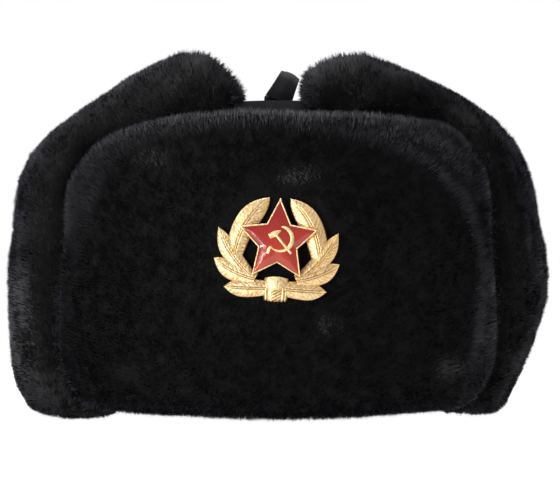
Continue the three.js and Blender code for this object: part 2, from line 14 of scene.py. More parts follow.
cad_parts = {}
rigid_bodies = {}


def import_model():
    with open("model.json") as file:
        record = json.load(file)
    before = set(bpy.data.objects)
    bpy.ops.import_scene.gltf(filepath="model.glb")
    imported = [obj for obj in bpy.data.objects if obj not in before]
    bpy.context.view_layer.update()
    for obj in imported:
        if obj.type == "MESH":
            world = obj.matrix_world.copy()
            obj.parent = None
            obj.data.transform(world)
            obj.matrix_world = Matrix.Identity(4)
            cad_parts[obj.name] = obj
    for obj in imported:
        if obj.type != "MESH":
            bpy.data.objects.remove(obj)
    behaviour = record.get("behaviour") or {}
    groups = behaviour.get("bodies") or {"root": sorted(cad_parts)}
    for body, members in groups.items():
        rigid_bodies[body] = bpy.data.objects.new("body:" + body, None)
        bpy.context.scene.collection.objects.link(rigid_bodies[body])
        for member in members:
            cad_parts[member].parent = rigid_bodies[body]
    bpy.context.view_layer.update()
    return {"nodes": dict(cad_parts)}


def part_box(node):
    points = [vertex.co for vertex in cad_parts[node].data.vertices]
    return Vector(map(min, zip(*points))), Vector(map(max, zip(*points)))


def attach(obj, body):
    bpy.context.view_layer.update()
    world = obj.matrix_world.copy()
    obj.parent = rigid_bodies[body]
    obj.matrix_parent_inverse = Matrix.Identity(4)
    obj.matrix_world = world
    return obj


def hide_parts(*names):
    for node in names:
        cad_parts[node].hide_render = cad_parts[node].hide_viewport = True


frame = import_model()
nodes = frame["nodes"]
print("nodes:", sorted(nodes))

# %% [markdown]
# ## Working in millimetres
# Blender measures in metres, but a hat is easier to think of in millimetres. Points are made in millimetres
# and turned into metres in one place, where the mesh is made.

# %% Small helpers for meshes
MM = 0.001


def new_object(name, data):
    made = bpy.data.objects.new(name, data)
    bpy.context.scene.collection.objects.link(made)
    return made


def piece_from(name, points, faces):
    mesh = bpy.data.meshes.new(name)
    mesh.from_pydata((np.asarray(points, float) * MM).tolist(), [], [list(face) for face in faces])
    mesh.validate()
    mesh.shade_smooth()
    return new_object(name, mesh)


def quads(rows, columns, closed=False):
    index = np.arange(rows * columns).reshape(rows, columns)
    if closed:
        index = np.c_[index, index[:, :1]]
    corners = [index[:-1, :-1], index[:-1, 1:], index[1:, 1:], index[1:, :-1]]
    return np.stack(corners, -1).reshape(-1, 4).tolist()


def capped_tube(rows, columns):
    """Faces of a tube made of rows of points, with one flat face at each end."""
    first = list(range(columns))[::-1]
    last = [(rows - 1) * columns + k for k in range(columns)]
    return quads(rows, columns, closed=True) + [first, last]


def lay_cloth(piece, on_cloth):
    """Gives a piece a UV map in millimetres of its cloth, from one pair of numbers for each point."""
    layer = piece.data.uv_layers.new(name="cloth")
    vertex = np.empty(len(piece.data.loops), int)
    piece.data.loops.foreach_get("vertex_index", vertex)
    layer.data.foreach_set("uv", on_cloth[vertex].astype(np.float32).ravel())


def rows_of(columns, table):
    """The rows of a table, with its columns named."""
    return [dict(zip(columns.split(), row)) for row in table]


def unit(vectors):
    return vectors / np.maximum(np.linalg.norm(vectors, axis=-1, keepdims=True), 1e-9)


def smoothstep(low, high, value):
    t = np.clip((value - low) / (high - low), 0, 1)
    return t * t * (3 - 2 * t)


def soft_noise(points, size, seed=0.0):
    shift = Vector((seed, seed * 0.7, -seed))
    return np.array([noise.noise(Vector(point) / size + shift) for point in points])


# %% [markdown]
# ## The camera
# The photograph was taken from straight ahead, a little above the middle of the badge's height and about a
# metre away. The lens is worked out from how large the hat is in the frame, and the camera is turned by a
# fraction of a degree to put the hat where it stands there.

# %% Camera
image_wide, focal_px = 560, 2160
camera_data = bpy.data.cameras.new("camera")
camera_data.sensor_width = 36
camera_data.lens = 36 * focal_px / image_wide
camera = new_object("camera", camera_data)
camera.location = (0, -0.960, 0.065)
camera.rotation_euler = (math.radians(90) + math.atan(14 / focal_px), 0, -math.atan(2 / focal_px))
bpy.context.scene.camera = camera
print("lens in mm:", round(camera_data.lens, 1))

# %% [markdown]
# ## Floor and light
# The photograph has a white ground and no shadow, so the hat stands on a small table of opal acrylic that
# is lit from below, in a pale room. The room is painted whiter than it lights, or the red enamel would
# mirror it and turn pink. A soft lamp up on the left gives the gilt its shine, and a weaker one on the
# right evens out the front. A small one on the left, level with the table, shines over its front edge and
# puts the glare on the enamel. The lamp above brings out the rolled edges of the flaps.

# %% Colours, and one function that adds a node


def linear(hex_colour):
    channels = [int(hex_colour[i : i + 2], 16) / 255 for i in (0, 2, 4)]
    return tuple(c / 12.92 if c <= 0.04045 else ((c + 0.055) / 1.055) ** 2.4 for c in channels) + (1.0,)


def add_node(tree, kind, inputs=None, **settings):
    made = tree.nodes.new(kind)
    for name, value in settings.items():
        setattr(made, name, value)
    for socket, value in (inputs or {}).items():
        if isinstance(value, bpy.types.NodeSocket):
            tree.links.new(value, made.inputs[socket])
        else:
            made.inputs[socket].default_value = value
    return made


def new_material(name):
    material = bpy.data.materials.new(name)
    material.use_nodes = True
    material.node_tree.nodes.clear()
    return material, material.node_tree


def give_surface(tree, shader):
    add_node(tree, "ShaderNodeOutputMaterial", {"Surface": shader.outputs[0]})


# %% Floor, room and lamps
table_corners = [(-550, -400, 0), (550, -400, 0), (550, 450, 0), (-550, 450, 0)]
floor = piece_from("table_top", table_corners, [(0, 1, 2, 3)])
floor.location.z = -0.0002
floor_material, tree = new_material("lit opal acrylic")
give_surface(tree, add_node(tree, "ShaderNodeBsdfPrincipled", {
    "Base Color": linear("7C7C7C"), "Roughness": 0.7,
    "Emission Color": (1, 1, 1, 1), "Emission Strength": 1.0}))
floor.data.materials.append(floor_material)

world = bpy.data.worlds.new("pale room")
world.use_nodes = True
tree = world.node_tree
tree.nodes.clear()
lit = add_node(tree, "ShaderNodeBackground", {"Color": linear("FAFAFF"), "Strength": 0.55})
seen = add_node(tree, "ShaderNodeBackground", {"Color": (1, 1, 1, 1), "Strength": 1.0})
ray = add_node(tree, "ShaderNodeLightPath")
room = add_node(tree, "ShaderNodeMixShader", {
    0: ray.outputs["Is Camera Ray"], 1: lit.outputs[0], 2: seen.outputs[0]})
add_node(tree, "ShaderNodeOutputWorld", {"Surface": room.outputs[0]})
bpy.context.scene.world = world
bpy.context.scene.view_settings.view_transform = "Standard"


def lamp(name, place, aim, size, watts):
    data = bpy.data.lights.new(name, "AREA")
    data.size = size
    data.energy = watts
    made = new_object(name, data)
    made.location = place
    made.rotation_euler = (Vector(aim) - Vector(place)).to_track_quat("-Z", "Y").to_euler()


lamp("key_lamp", (-1.0, -0.4, 0.75), (0, 0, 0.08), 0.45, 7)
lamp("fill_lamp", (0.6, -0.9, 0.8), (0, 0, 0.08), 0.8, 2)
lamp("low_lamp", (-0.36, -0.78, 0.0), (0, -0.12, 0.07), 0.27, 3.7)
lamp("top_lamp", (0.0, 0.1, 1.1), (0, 0, 0.1), 0.7, 18)

# %% [markdown]
# ## The plush
# The flaps are knitted pile: black fibres as short and dense as sheared sheepskin, so the surface looks
# like velvet and shows single fibres only along its outline. Particle hair would not survive an export, so
# the pile is made of thin pointed blades in an ordinary mesh. A blade is one triangle: it starts on the
# backing under the surface of the solid, leans over, and ends about where the solid's surface is, so the
# outline stays the measured one.

# %% An even copy of a flap's solid


def even_copy(node, voxel, rounds):
    copy = new_object("even_" + node, nodes[node].data.copy())
    remesh = copy.modifiers.new("remesh", "REMESH")
    remesh.mode = "VOXEL"
    remesh.voxel_size = voxel * MM
    smooth = copy.modifiers.new("smooth", "SMOOTH")
    smooth.factor = 0.5
    smooth.iterations = rounds
    mesh = bpy.data.meshes.new_from_object(copy.evaluated_get(bpy.context.evaluated_depsgraph_get()))
    bpy.data.objects.remove(copy)
    return mesh


def arrays_of(mesh):
    points = np.empty(len(mesh.vertices) * 3)
    mesh.vertices.foreach_get("co", points)
    normals = np.empty(len(mesh.vertices) * 3)
    mesh.vertices.foreach_get("normal", normals)
    mesh.calc_loop_triangles()
    corners = np.empty(len(mesh.loop_triangles) * 3, int)
    mesh.loop_triangles.foreach_get("vertices", corners)
    return points.reshape(-1, 3) / MM, normals.reshape(-1, 3), corners.reshape(-1, 3)


def tree_of(*meshes):
    points, faces, start = [], [], 0
    for mesh in meshes:
        at, _, corners = arrays_of(mesh)
        points += at.tolist()
        faces += (corners + start).tolist()
        start += len(at)
    return BVHTree.FromPolygons(points, faces)


def held_to(tree, points, share):
    """Moves points back to a surface, by a share of the way."""
    nearest = np.array([tree.find_nearest(Vector(point))[0] for point in points])
    return points + share * (nearest - points)


def open_air(tree, points, normals, reach):
    """Whether a slanting ray from each point gets out between its neighbours."""
    found = np.zeros(len(points), bool)
    for i, (point, normal) in enumerate(zip(points, normals)):
        normal = Vector(normal)
        one = normal.orthogonal().normalized()
        two = normal.cross(one)
        for k in range(8):
            way = normal * 0.6 + one * math.cos(k * math.pi / 4) + two * math.sin(k * math.pi / 4)
            if tree.ray_cast(Vector(point) + normal * 0.2, way.normalized(), reach)[0] is None:
                found[i] = True
                break
    return found


def free_ahead(tree, points, normals, reach):
    """How far a neighbour is in front of each point, up to the reach."""
    found = []
    for point, normal in zip(points, normals):
        hit = tree.ray_cast(Vector(point + normal * 0.2), Vector(normal), reach)[3]
        found.append(reach if hit is None else hit)
    return np.array(found)


# %% [markdown]
# ## Which way the pile lies
# Pile lies towards the free end of a flap. On a flap that is turned up this is up the side of the hat and
# then inwards over the crown. Slow waves in that direction, and tufts that were brushed the wrong way and
# catch the light, give the cloudy light and dark of real plush. The ruffled tufts are also painted lighter,
# as painted highlights.

# %% Lie of the pile
# Ruffled tufts on the front: how far across and up, how wide and tall, all in mm, how far the pile is
# turned, in radians, and how much painted light it gets: a painted highlight where the tuft catches the
# light.
ruffled = rows_of("x z wide tall turn light", [
    (8.0, 98.3, 6.0, 2.8, 1.0, 20.0),
    (-50.5, 106.5, 6.0, 3.0, -1.0, 11.0),
    (-8.0, 96.0, 5.0, 6.0, 0.8, 1.0),
    (28.0, 81.8, 1.8, 2.2, 1.2, 3.0),
    (-40.0, 85.0, 2.4, 2.6, -1.2, 1.1),
    (35.0, 77.0, 3.0, 2.0, 1.2, 0.8),
    (20.0, 40.5, 3.8, 2.8, 1.2, 24.0),
    (-23.0, 44.0, 3.6, 2.6, -1.3, 1.6),
    (-39.0, 45.0, 2.0, 2.8, 1.3, 1.3),
    (69.5, 22.5, 5.0, 4.2, -1.3, 12.0),
    (-60.0, 21.0, 8.0, 5.0, 1.1, 1.6),
    (60.0, 46.0, 5.0, 3.0, 1.0, 0.8),
    (54.0, 74.0, 3.0, 4.0, -1.0, 0.7),
    (56.5, 16.0, 5.0, 1.6, 1.0, 2.0),
])

# The fold of the front flap: a line on which the pile opens, in mm across and up. "line" and "band" say how
# much painted light the pile gets on the line and on the band outside it, where the rolled edge faces the
# lamp above. Where "hollow" is 1, the band sinks beside the line and loses most of its painted light.
fold_line = rows_of("x z line band hollow", [
    (-79.0, 16.0, 0.1, 0.0, 0.0),
    (-84.0, 30.0, 0.2, 0.0, 0.2),
    (-84.4, 52.4, 0.4, 0.0, 0.3),
    (-81.6, 64.6, 0.5, 0.1, 0.2),
    (-77.3, 77.6, 0.5, 1.0, 0.0),
    (-72.6, 92.6, 0.3, 1.6, 0.0),
    (-69.8, 100.1, 0.3, 1.6, 0.0),
    (-64.0, 108.0, 0.3, 1.6, 0.0),
    (-51.0, 113.8, 0.4, 3.4, 0.0),
    (-37.5, 116.2, 0.5, 4.6, 0.0),
    (-21.0, 118.2, 0.5, 4.6, 0.0),
    (4.0, 118.6, 0.5, 4.6, 0.0),
    (22.0, 114.6, 0.6, 4.8, 0.0),
    (42.0, 110.4, 1.0, 4.8, 0.1),
    (51.0, 107.6, 1.6, 4.8, 0.7),
    (60.0, 103.0, 2.6, 4.4, 1.0),
    (72.0, 92.5, 3.4, 1.4, 1.0),
    (77.5, 83.5, 3.0, 0.4, 0.4),
    (81.0, 75.0, 2.4, 0.4, 0.1),
    (83.0, 62.6, 2.6, 0.8, 0.0),
    (81.5, 50.8, 2.0, 3.2, 0.0),
    (80.5, 34.0, 1.6, 3.0, 0.0),
    (76.0, 18.0, 0.3, 1.2, 0.0),
])
print("ruffled tufts:", len(ruffled), "places on the fold:", len(fold_line))


def at_fold(points):
    """How far outside the fold line points are, the way out, and the line's last three columns there."""
    line = np.array([[row["x"], row["z"]] for row in fold_line])
    shares = np.array([[row["line"], row["band"], row["hollow"]] for row in fold_line])
    flat = points[:, [0, 2]]
    best = np.full(len(points), 1e9)
    out, mixed = np.zeros((len(points), 3)), np.zeros((len(points), 3))
    for a, b, share_a, share_b in zip(line[:-1], line[1:], shares[:-1], shares[1:]):
        run = b - a
        t = np.clip(((flat - a) @ run) / (run @ run), 0, 1)
        away = flat - (a + t[:, None] * run)
        far = np.linalg.norm(away, axis=1)
        outward = np.array([-run[1], run[0]]) / np.linalg.norm(run)
        signed = far * np.where(away @ outward > 0, 1, -1)
        nearer = far < np.abs(best)
        best = np.where(nearer, signed, best)
        out[nearer] = [outward[0], 0, outward[1]]
        mixed[nearer] = (share_a + t[:, None] * (share_b - share_a))[nearer]
    return best, out, mixed


def near_spot(points, spot):
    far = ((points[:, 0] - spot["x"]) / spot["wide"]) ** 2 + ((points[:, 2] - spot["z"]) / spot["tall"]) ** 2
    return np.exp(-far) * (points[:, 1] < -60)


def lie_of_pile(points, normals):
    up = np.tile([0.0, 0.0, 1.0], (len(points), 1))
    inward = unit(-points * [1, 0.35, 0])
    lie = up + inward * (0.2 + 0.9 * np.clip(normals[:, 2:], 0, 1))
    lie -= normals * (lie * normals).sum(1, keepdims=True)
    lie = unit(lie + 1e-6)
    calm = np.where(points[:, 1] < -90, 0.25, 1.0)
    turn = calm * (1.3 * soft_noise(points, 14, 3.1) + 1.1 * soft_noise(points, 5, 8.2))
    for spot in ruffled:
        turn += spot["turn"] * near_spot(points, spot)
    across = np.cross(normals, lie)
    return lie * np.cos(turn)[:, None] + across * np.sin(turn)[:, None]


# %% [markdown]
# ## How the blades are set
# Blades grow in small tufts of eight. Each tuft shares its lean and its lightness, and its blades come
# together a little at the tips. A blade's shading normal is that of the flap under it, tilted by a slow and
# a fast noise: this is what makes thousands of flat triangles take the light as one soft surface.

# %% A flap's backing
pile_deep = 3.6  # mm from the roots to the tips, about
per_tuft = 8
badge_low, badge_high = (np.array(corner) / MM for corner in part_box("badge_wreath"))
badge_middle = (badge_low + badge_high) / 2
flaps = ["front_flap", "ear_flap_right", "ear_flap_left", "neck_flap"]


def backing_of(flap):
    """Makes a flap's backing; gives its even surface too, and trees of it and of what is around it."""
    outer = even_copy(flap, 2.2, 3)
    at, facing, corners = arrays_of(outer)
    at = held_to(tree_of(nodes[flap].data), at, 0.8)
    outer.vertices.foreach_set("co", (at * MM).ravel())
    own = tree_of(outer)
    around = tree_of(*(nodes[name].data for name in nodes if name != flap and not name.startswith("badge")))

    # The backing is the same form, drawn inwards where nothing covers it.
    free = free_ahead(around, at, facing, 8)
    thick = free_ahead(own, at - facing * 0.6, -facing, 30)
    inset = np.minimum(0.45 * pile_deep, 0.28 * thick) * smoothstep(0.5, 5, free)
    backing = outer.copy()
    backing.vertices.foreach_set("co", ((at - facing * inset[:, None]) * MM).ravel())
    backing.shade_smooth()
    print(flap, "backing faces:", len(backing.polygons))
    return new_object(flap + "_backing", backing), (at, facing, corners), own, around


# %% Where the tufts grow


def scattered(rng, flap, surface, own, around, wanted):
    """Tufts, even over the area in the open: place, normal, free space ahead and depth of the pile."""
    at, facing, corners = surface
    a, b, c = (at[corners[:, k]] for k in range(3))
    area = np.linalg.norm(np.cross(b - a, c - a), axis=1)
    pick = rng.choice(len(area), wanted * 2, p=area / area.sum())
    u, v = rng.random((2, wanted * 2))
    u, v = np.where(u + v > 1, 1 - u, u), np.where(u + v > 1, 1 - v, v)
    weights = np.stack([1 - u - v, u, v], 1)[:, :, None]
    place = (at[corners[pick]] * weights).sum(1)
    normal = unit((facing[corners[pick]] * weights).sum(1))
    free = free_ahead(around, place, normal, 10)
    seen = np.flatnonzero(free > 0.7)
    seen = seen[(free[seen] > 9) | open_air(around, place[seen], normal[seen], 16)]
    keep = seen[:wanted]
    print(flap, "tufts in the open:", len(seen), "of", wanted * 2)
    place, normal, free = place[keep], normal[keep], free[keep]
    deep = np.minimum(pile_deep, 0.45 * free_ahead(own, place - normal * 0.6, -normal, 30))
    deep *= 0.35 + 0.65 * smoothstep(1, 7, free)
    return place, normal, free, deep


# %% How far the tufts stand up


def stood_up(rng, flap, place, normal, free, clouds):
    """How far each tuft's tips are off the surface, in mm, and which tufts are ragged."""
    height = place[:, 2]
    uneven = rng.standard_normal(len(place)).clip(-2, 2)
    stand = 0.35 * soft_noise(place, 15, 5.5) + 0.2 * clouds + 0.12 * uneven
    if flap == "front_flap":
        stand *= 0.2
    stand += 0.1
    stand += 0.6 * (rng.random(len(place)) < 0.02) + 0.3
    stand += np.clip(free - 0.9, 0, 1.2) * smoothstep(5, 1.5, free)
    ragged = np.zeros(len(place))
    if flap == "front_flap":
        stand += 0.9 * smoothstep(0.3, 0.9, normal[:, 2]) * (height > 90)
    elif flap != "neck_flap":
        # At the ends of the ear flaps some tufts stand out, and their blades meet in a point.
        at_end = smoothstep(62, 30, np.abs(place[:, 0])) * (height > 120)
        ragged = at_end * (rng.random(len(place)) < 0.22)
        stand += 0.2 * at_end + 1.9 * ragged
    stand = np.minimum(stand, free - 0.45)

    # The pile behind the badge is pressed flat by it.
    from_badge = np.hypot((place[:, 0] - badge_middle[0]) / 25, (height - badge_middle[2]) / 22)
    behind = (place[:, 1] < -100) * smoothstep(1.15, 0.95, from_badge)
    stand = stand * (1 - behind) - 1.0 * behind
    return stand, ragged


# %% How light the tufts are


def tuft_tone_and_painted_light(rng, flap, place, normal, free, clouds):
    """Lightness of each tuft: slow clouds of tone at random, with painted light and shade for where the lamps
    fall, and the ruffled tufts painted lighter.
    """
    height = place[:, 2]
    light = 0.75 + 0.2 * soft_noise(place, 24, 9.4) + 0.25 * clouds + 0.05 * rng.standard_normal(len(place))
    if flap != "front_flap":
        # Painted light: on the other flaps the pile is painted lighter where it faces the front, each ear by
        # its own amount.
        facing_front = np.clip(-normal[:, 1], 0, 1)
        light += 0.5 + 0.95 * facing_front + {"ear_flap_left": 0.1, "ear_flap_right": 0.3}.get(flap, 0)
        light += (0.8 + 0.7 * facing_front) * soft_noise(place, 11, 2.2) + 0.6 * soft_noise(place, 5, 7.2)
        # Painted light: lighter low down and where the pile faces up, and much lighter low down where it
        # faces left.
        light += 0.8 * smoothstep(75, 20, height) + 0.5 * smoothstep(0.3, 0.9, normal[:, 2])
        low_down = smoothstep(75, 35, height) * smoothstep(6, 34, height)
        light += 8.5 * smoothstep(0.1, 0.8, -normal[:, 0]) * low_down
        # Painted shade: darker beside the upper left corner of the front flap, and high up where the pile
        # faces right.
        light -= 0.6 * np.exp(-(((place[:, 0] + 79) / 14) ** 2) - ((height - 120) / 12) ** 2)
        light *= 1 - 0.8 * smoothstep(0.0, 0.5, normal[:, 0]) * smoothstep(60, 85, height)
    else:
        # Painted light and shade on the front flap: lighter to the right, darker towards the top and the
        # left, and darker low down where it faces left.
        light = 0.38 + 0.15 * (light - 0.75) + 0.7 * smoothstep(10, 70, place[:, 0])
        light -= 0.15 * smoothstep(30, 95, height) + 0.18 * smoothstep(30, -50, place[:, 0])
        light *= 1 - 0.5 * smoothstep(0.2, 0.8, -normal[:, 0]) * smoothstep(75, 50, height)
    # Painted light: lighter where another part is close in front, to lift the shade in the gaps.
    light *= 1 + 3.0 * smoothstep(7, 1.5, free)
    single_tuft = rng.random(len(place)) ** 1.5
    # Painted highlight: the ruffled tufts on the front flap are painted lighter.
    for spot in ruffled:
        light += spot["light"] * near_spot(place, spot) * (0.25 + single_tuft) * (flap == "front_flap")
    return light


# %% The blades


def blades_from(rng, flap, place, normal, lie, ends, shade_normals, light, deep, ragged):
    """A mesh of one triangle a blade. Each tuft's blades start side by side and lean together."""
    side = np.cross(normal, lie)
    tuft = np.repeat(np.arange(len(place)), per_tuft)
    total = len(tuft)
    tuft_wide = 2.3 if flap == "front_flap" else 1.6
    angle = rng.random(total) * 2 * math.pi
    reach = tuft_wide * np.sqrt(rng.random(total))
    spread = side[tuft] * (reach * np.cos(angle))[:, None] + lie[tuft] * (reach * np.sin(angle))[:, None]
    over = normal[tuft]
    root = place[tuft] + spread - over * (deep[tuft] * 0.7)[:, None]
    tip = ends[tuft] + spread * (0.8 - 0.55 * ragged[tuft])[:, None]
    tip += over * (0.22 * rng.standard_normal(total).clip(-2, 1.8))[:, None]
    tip -= over * (0.4 * rng.random(total) ** 3 * deep[tuft])[:, None]
    tip[:, 2] = np.maximum(tip[:, 2], 0.15)
    root[:, 2] = np.maximum(root[:, 2], 0.5)
    axis = unit(tip - root)
    flat = unit(np.cross(axis, over) + 0.5 * rng.standard_normal((total, 3)))
    flat = unit(flat - axis * (flat * axis).sum(1, keepdims=True))
    flat *= np.sign((np.cross(flat, axis) * over).sum(1, keepdims=True) + 1e-9)
    wide = 0.13 + 0.09 * rng.random(total)
    points = np.stack([root + flat * wide[:, None], root - flat * wide[:, None], tip], 1)
    faces = np.arange(total * 3)
    out = np.cross(points[:, 1] - points[:, 0], points[:, 2] - points[:, 0])
    turned_over = (out * over).sum(1) < 0
    faces = faces.reshape(-1, 3)
    faces[turned_over] = faces[turned_over][:, ::-1]

    mesh = bpy.data.meshes.new(flap + "_pile")
    mesh.vertices.add(total * 3)
    mesh.vertices.foreach_set("co", (points * MM).astype(np.float32).ravel())
    mesh.loops.add(total * 3)
    mesh.loops.foreach_set("vertex_index", faces.ravel().astype(np.int32))
    mesh.polygons.add(total)
    mesh.polygons.foreach_set("loop_start", np.arange(0, total * 3, 3, dtype=np.int32))
    mesh.update(calc_edges=True)
    mesh.shade_smooth()
    single = rng.standard_normal((total, 2)).clip(-2, 2) * 0.08
    shade = unit(shade_normals[tuft] + side[tuft] * single[:, :1] + lie[tuft] * single[:, 1:])
    root_shade = unit(shade + flat * 0.35)
    root_shade_far = unit(shade - flat * 0.35)
    shades = np.stack([root_shade, root_shade_far, shade], 1).reshape(-1, 3)
    mesh.normals_split_custom_set_from_vertices(shades.tolist())
    colour = np.ones((total, 3, 4), np.float32)
    # Colour of a blade: red runs from root to tip, for the painted shade at the roots; green is its tuft's
    # tone and painted light; blue is random.
    colour[:, :, 0] = [0.0, 0.0, 1.0]
    colour[:, :, 1] = np.clip(light[tuft] / 8, 0, 1)[:, None]
    colour[:, :, 2] = rng.random(total)[:, None]
    layer = mesh.color_attributes.new("pile", "FLOAT_COLOR", "POINT")
    layer.data.foreach_set("color", colour.ravel())
    return mesh


# %% Pile on one flap


def pile(flap, blade_count, seed):
    """Makes a flap's backing and its pile, and returns both."""
    rng = np.random.default_rng(seed)
    backing_piece, surface, own, around = backing_of(flap)
    place, normal, free, deep = scattered(rng, flap, surface, own, around, blade_count // per_tuft)
    lie = lie_of_pile(place, normal)
    side = np.cross(normal, lie)
    lean = (1.2 + 0.6 * rng.standard_normal(len(place)).clip(-2, 2)) * (0.4 + 0.6 * deep / pile_deep)
    ends, end_normals = [], []
    for point, way, far in zip(place, lie, lean):
        spot, turned, _, _ = own.find_nearest(Vector(point + way * far))
        ends.append(spot)
        end_normals.append(turned)
    ends, end_normals = np.array(ends), unit(np.array(end_normals) + 2 * normal)
    clouds = soft_noise(place, 6, 1.7)
    stand, ragged = stood_up(rng, flap, place, normal, free, clouds)
    ends += normal * stand[:, None]
    light = tuft_tone_and_painted_light(rng, flap, place, normal, free, clouds)
    tilt = lie * (0.35 * soft_noise(place, 8, 4.4) + 0.2 * soft_noise(place, 3, 6.1))[:, None]
    tilt += side * (0.35 * soft_noise(place, 8, 2.6) + 0.2 * soft_noise(place, 3, 7.7))[:, None]
    if flap == "front_flap":
        tilt *= 0.4
        outside, way_out, share = at_fold(place)
        on_line = np.exp(-(((outside - 1.0) / 2.0) ** 2)) * share[:, 0]
        on_band = smoothstep(-1.5, 1.5, outside) * smoothstep(18, 11, outside) * share[:, 1]
        in_hollow = np.exp(-(((outside - 5.5) / 3.0) ** 2)) * share[:, 2]
        patchy = 1 + 0.6 * clouds + 0.2 * soft_noise(place, 2, 3.9)
        patchy *= 1 - 0.35 * smoothstep(0.5, 0.95, normal[:, 2])
        # Painted light: the pile on the fold line and on the rolled band outside it is painted lighter, as
        # for the lamp above; in the hollow most of it is taken away again, as painted shade.
        light += 1.5 * (on_line + on_band) * patchy * (1 - 0.8 * in_hollow)
        tilt += way_out * (0.8 * on_line + 0.6 * np.minimum(on_band, 2.2) * (1 - in_hollow))[:, None]
        ends += normal * (0.9 * on_line - 1.2 * in_hollow)[:, None]

    mesh = blades_from(rng, flap, place, normal, lie, ends, end_normals + tilt, light, deep, ragged)
    print(flap, "blades:", len(mesh.polygons))
    return backing_piece, new_object(flap + "_pile", mesh)


# %% [markdown]
# ## Black modacrylic pile
# The fibre is black modacrylic. A pile has almost no gloss as a surface, because light that goes in between
# the fibres stays there, so the colour is near black and the specular level very low. Fibres seen from the
# side still scatter light along the edge of a form, which is what sheen does, and it gives the rolled edges
# part of their grey. The rest is painted light that the blades' colours carry, and the blades are painted
# darker towards the roots, as painted shade deep in the pile.

# %% Plush material
plush, tree = new_material("black modacrylic pile")
strand = add_node(tree, "ShaderNodeVertexColor", layer_name="pile")
split = add_node(tree, "ShaderNodeSeparateColor", {"Color": strand.outputs["Color"]})
# Painted shade: a blade is darker at its root, deep in the pile, than at its tip.
along = add_node(tree, "ShaderNodeMix", {
    "Factor": split.outputs["Red"], "A": linear("101010"), "B": linear("181819")}, data_type="RGBA")
tone_and_painted_light_scale = add_node(tree, "ShaderNodeMapRange", {
    "Value": split.outputs["Green"], "From Min": 0.0, "From Max": 1.0, "To Min": 0.1,
    "To Max": 8.1})
single = add_node(tree, "ShaderNodeMapRange", {
    "Value": split.outputs["Blue"], "To Min": 0.88, "To Max": 1.12})
both = add_node(tree, "ShaderNodeMath", {
    0: tone_and_painted_light_scale.outputs["Result"], 1: single.outputs["Result"]}, operation="MULTIPLY")
shaded = add_node(tree, "ShaderNodeVectorMath", {
    0: along.outputs["Result"], "Scale": both.outputs["Value"]}, operation="SCALE")
give_surface(tree, add_node(tree, "ShaderNodeBsdfPrincipled", {
    "Base Color": shaded.outputs["Vector"], "Roughness": 0.7, "Specular IOR Level": 0.03,
    "Sheen Weight": 0.07, "Sheen Roughness": 0.35, "Sheen Tint": linear("CECEE6")}))

# %% Backing material
backing_cloth, tree = new_material("knitted pile backing")
where = add_node(tree, "ShaderNodeTexCoord")
knit = add_node(tree, "ShaderNodeTexNoise", {
    "Vector": where.outputs["Object"], "Scale": 1 / (2.2 * MM), "Detail": 3.0})
dark = add_node(tree, "ShaderNodeMix", {
    "Factor": knit.outputs["Fac"], "A": linear("0B0B0C"), "B": linear("141415")}, data_type="RGBA")
relief = add_node(tree, "ShaderNodeBump", {
    "Height": knit.outputs["Fac"], "Strength": 0.6, "Distance": 0.8 * MM})
give_surface(tree, add_node(tree, "ShaderNodeBsdfPrincipled", {
    "Base Color": dark.outputs["Result"], "Roughness": 0.85, "Specular IOR Level": 0.06,
    "Normal": relief.outputs["Normal"]}))

# %% Grow the pile
blades = {"front_flap": 192000, "ear_flap_right": 184000, "ear_flap_left": 184000, "neck_flap": 144000}
for number, flap in enumerate(flaps):
    backing_piece, pile_piece = pile(flap, blades[flap], 40 + number)
    backing_piece.data.materials.clear()
    backing_piece.data.materials.append(backing_cloth)
    pile_piece.data.materials.append(plush)
    for piece in (backing_piece, pile_piece):
        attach(piece, "root")
    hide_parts(flap)

# %% [markdown]
# ## The crown
# The crown is a padded dome of dark cotton cloth in three panels, lined inside. It is made from the same
# curve as its solids, as two skins with a rolled lower edge. The seams pull in, and the cloth puckers along
# them. The lining is quilted in diamonds, which shows from below.

# %% Shape of the crown
crown_low = Vector([min(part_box(n)[0][k] for n in nodes if n.startswith("crown")) for k in range(3)]) / MM
crown_high = Vector([max(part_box(n)[1][k] for n in nodes if n.startswith("crown")) for k in range(3)]) / MM
crown_middle = (crown_low + crown_high) / 2
half_wide, half_long = (crown_high.x - crown_low.x) / 2, (crown_high.y - crown_low.y) / 2
crown_rim, crown_top, dome_power, crown_wall, crown_seam = crown_low.z, crown_high.z, 3.9, 6.0, 40.0
print("crown, half its width and length:", round(half_wide, 1), round(half_long, 1))


def dome(turn, rise, inset):
    """Points of the dome at an angle in plan and a rise from 0 at the rim to 1 at the top."""
    t = rise * math.pi / 2
    share = np.cos(t) ** (2 / dome_power)
    height = crown_top - crown_rim - inset
    return np.stack([
        crown_middle.x + (half_wide - inset) * share * np.sin(turn),
        crown_middle.y - (half_long - inset) * share * np.cos(turn),
        crown_rim + height * np.sin(t) ** (2 / dome_power)], -1)


around_count, up_count = 220, 46
turn = np.linspace(0, 2 * math.pi, around_count, endpoint=False)[None, :]
rise = (1 - (1 - np.linspace(0, 1, up_count)) ** 1.15)[:, None] * 0.9995
turn, rise = np.broadcast_arrays(turn, rise)
outer_inset, inner_inset = 0.25, crown_wall - 0.4  # mm inside the solids' outer form
outside = dome(turn, rise, outer_inset)
inside = dome(turn, rise, inner_inset)


def pulled_in(points, deep):
    """Draws points towards the middle of the dome."""
    centre = np.array([crown_middle.x, crown_middle.y, 50.0])
    return points - unit(points - centre) * deep[..., None]


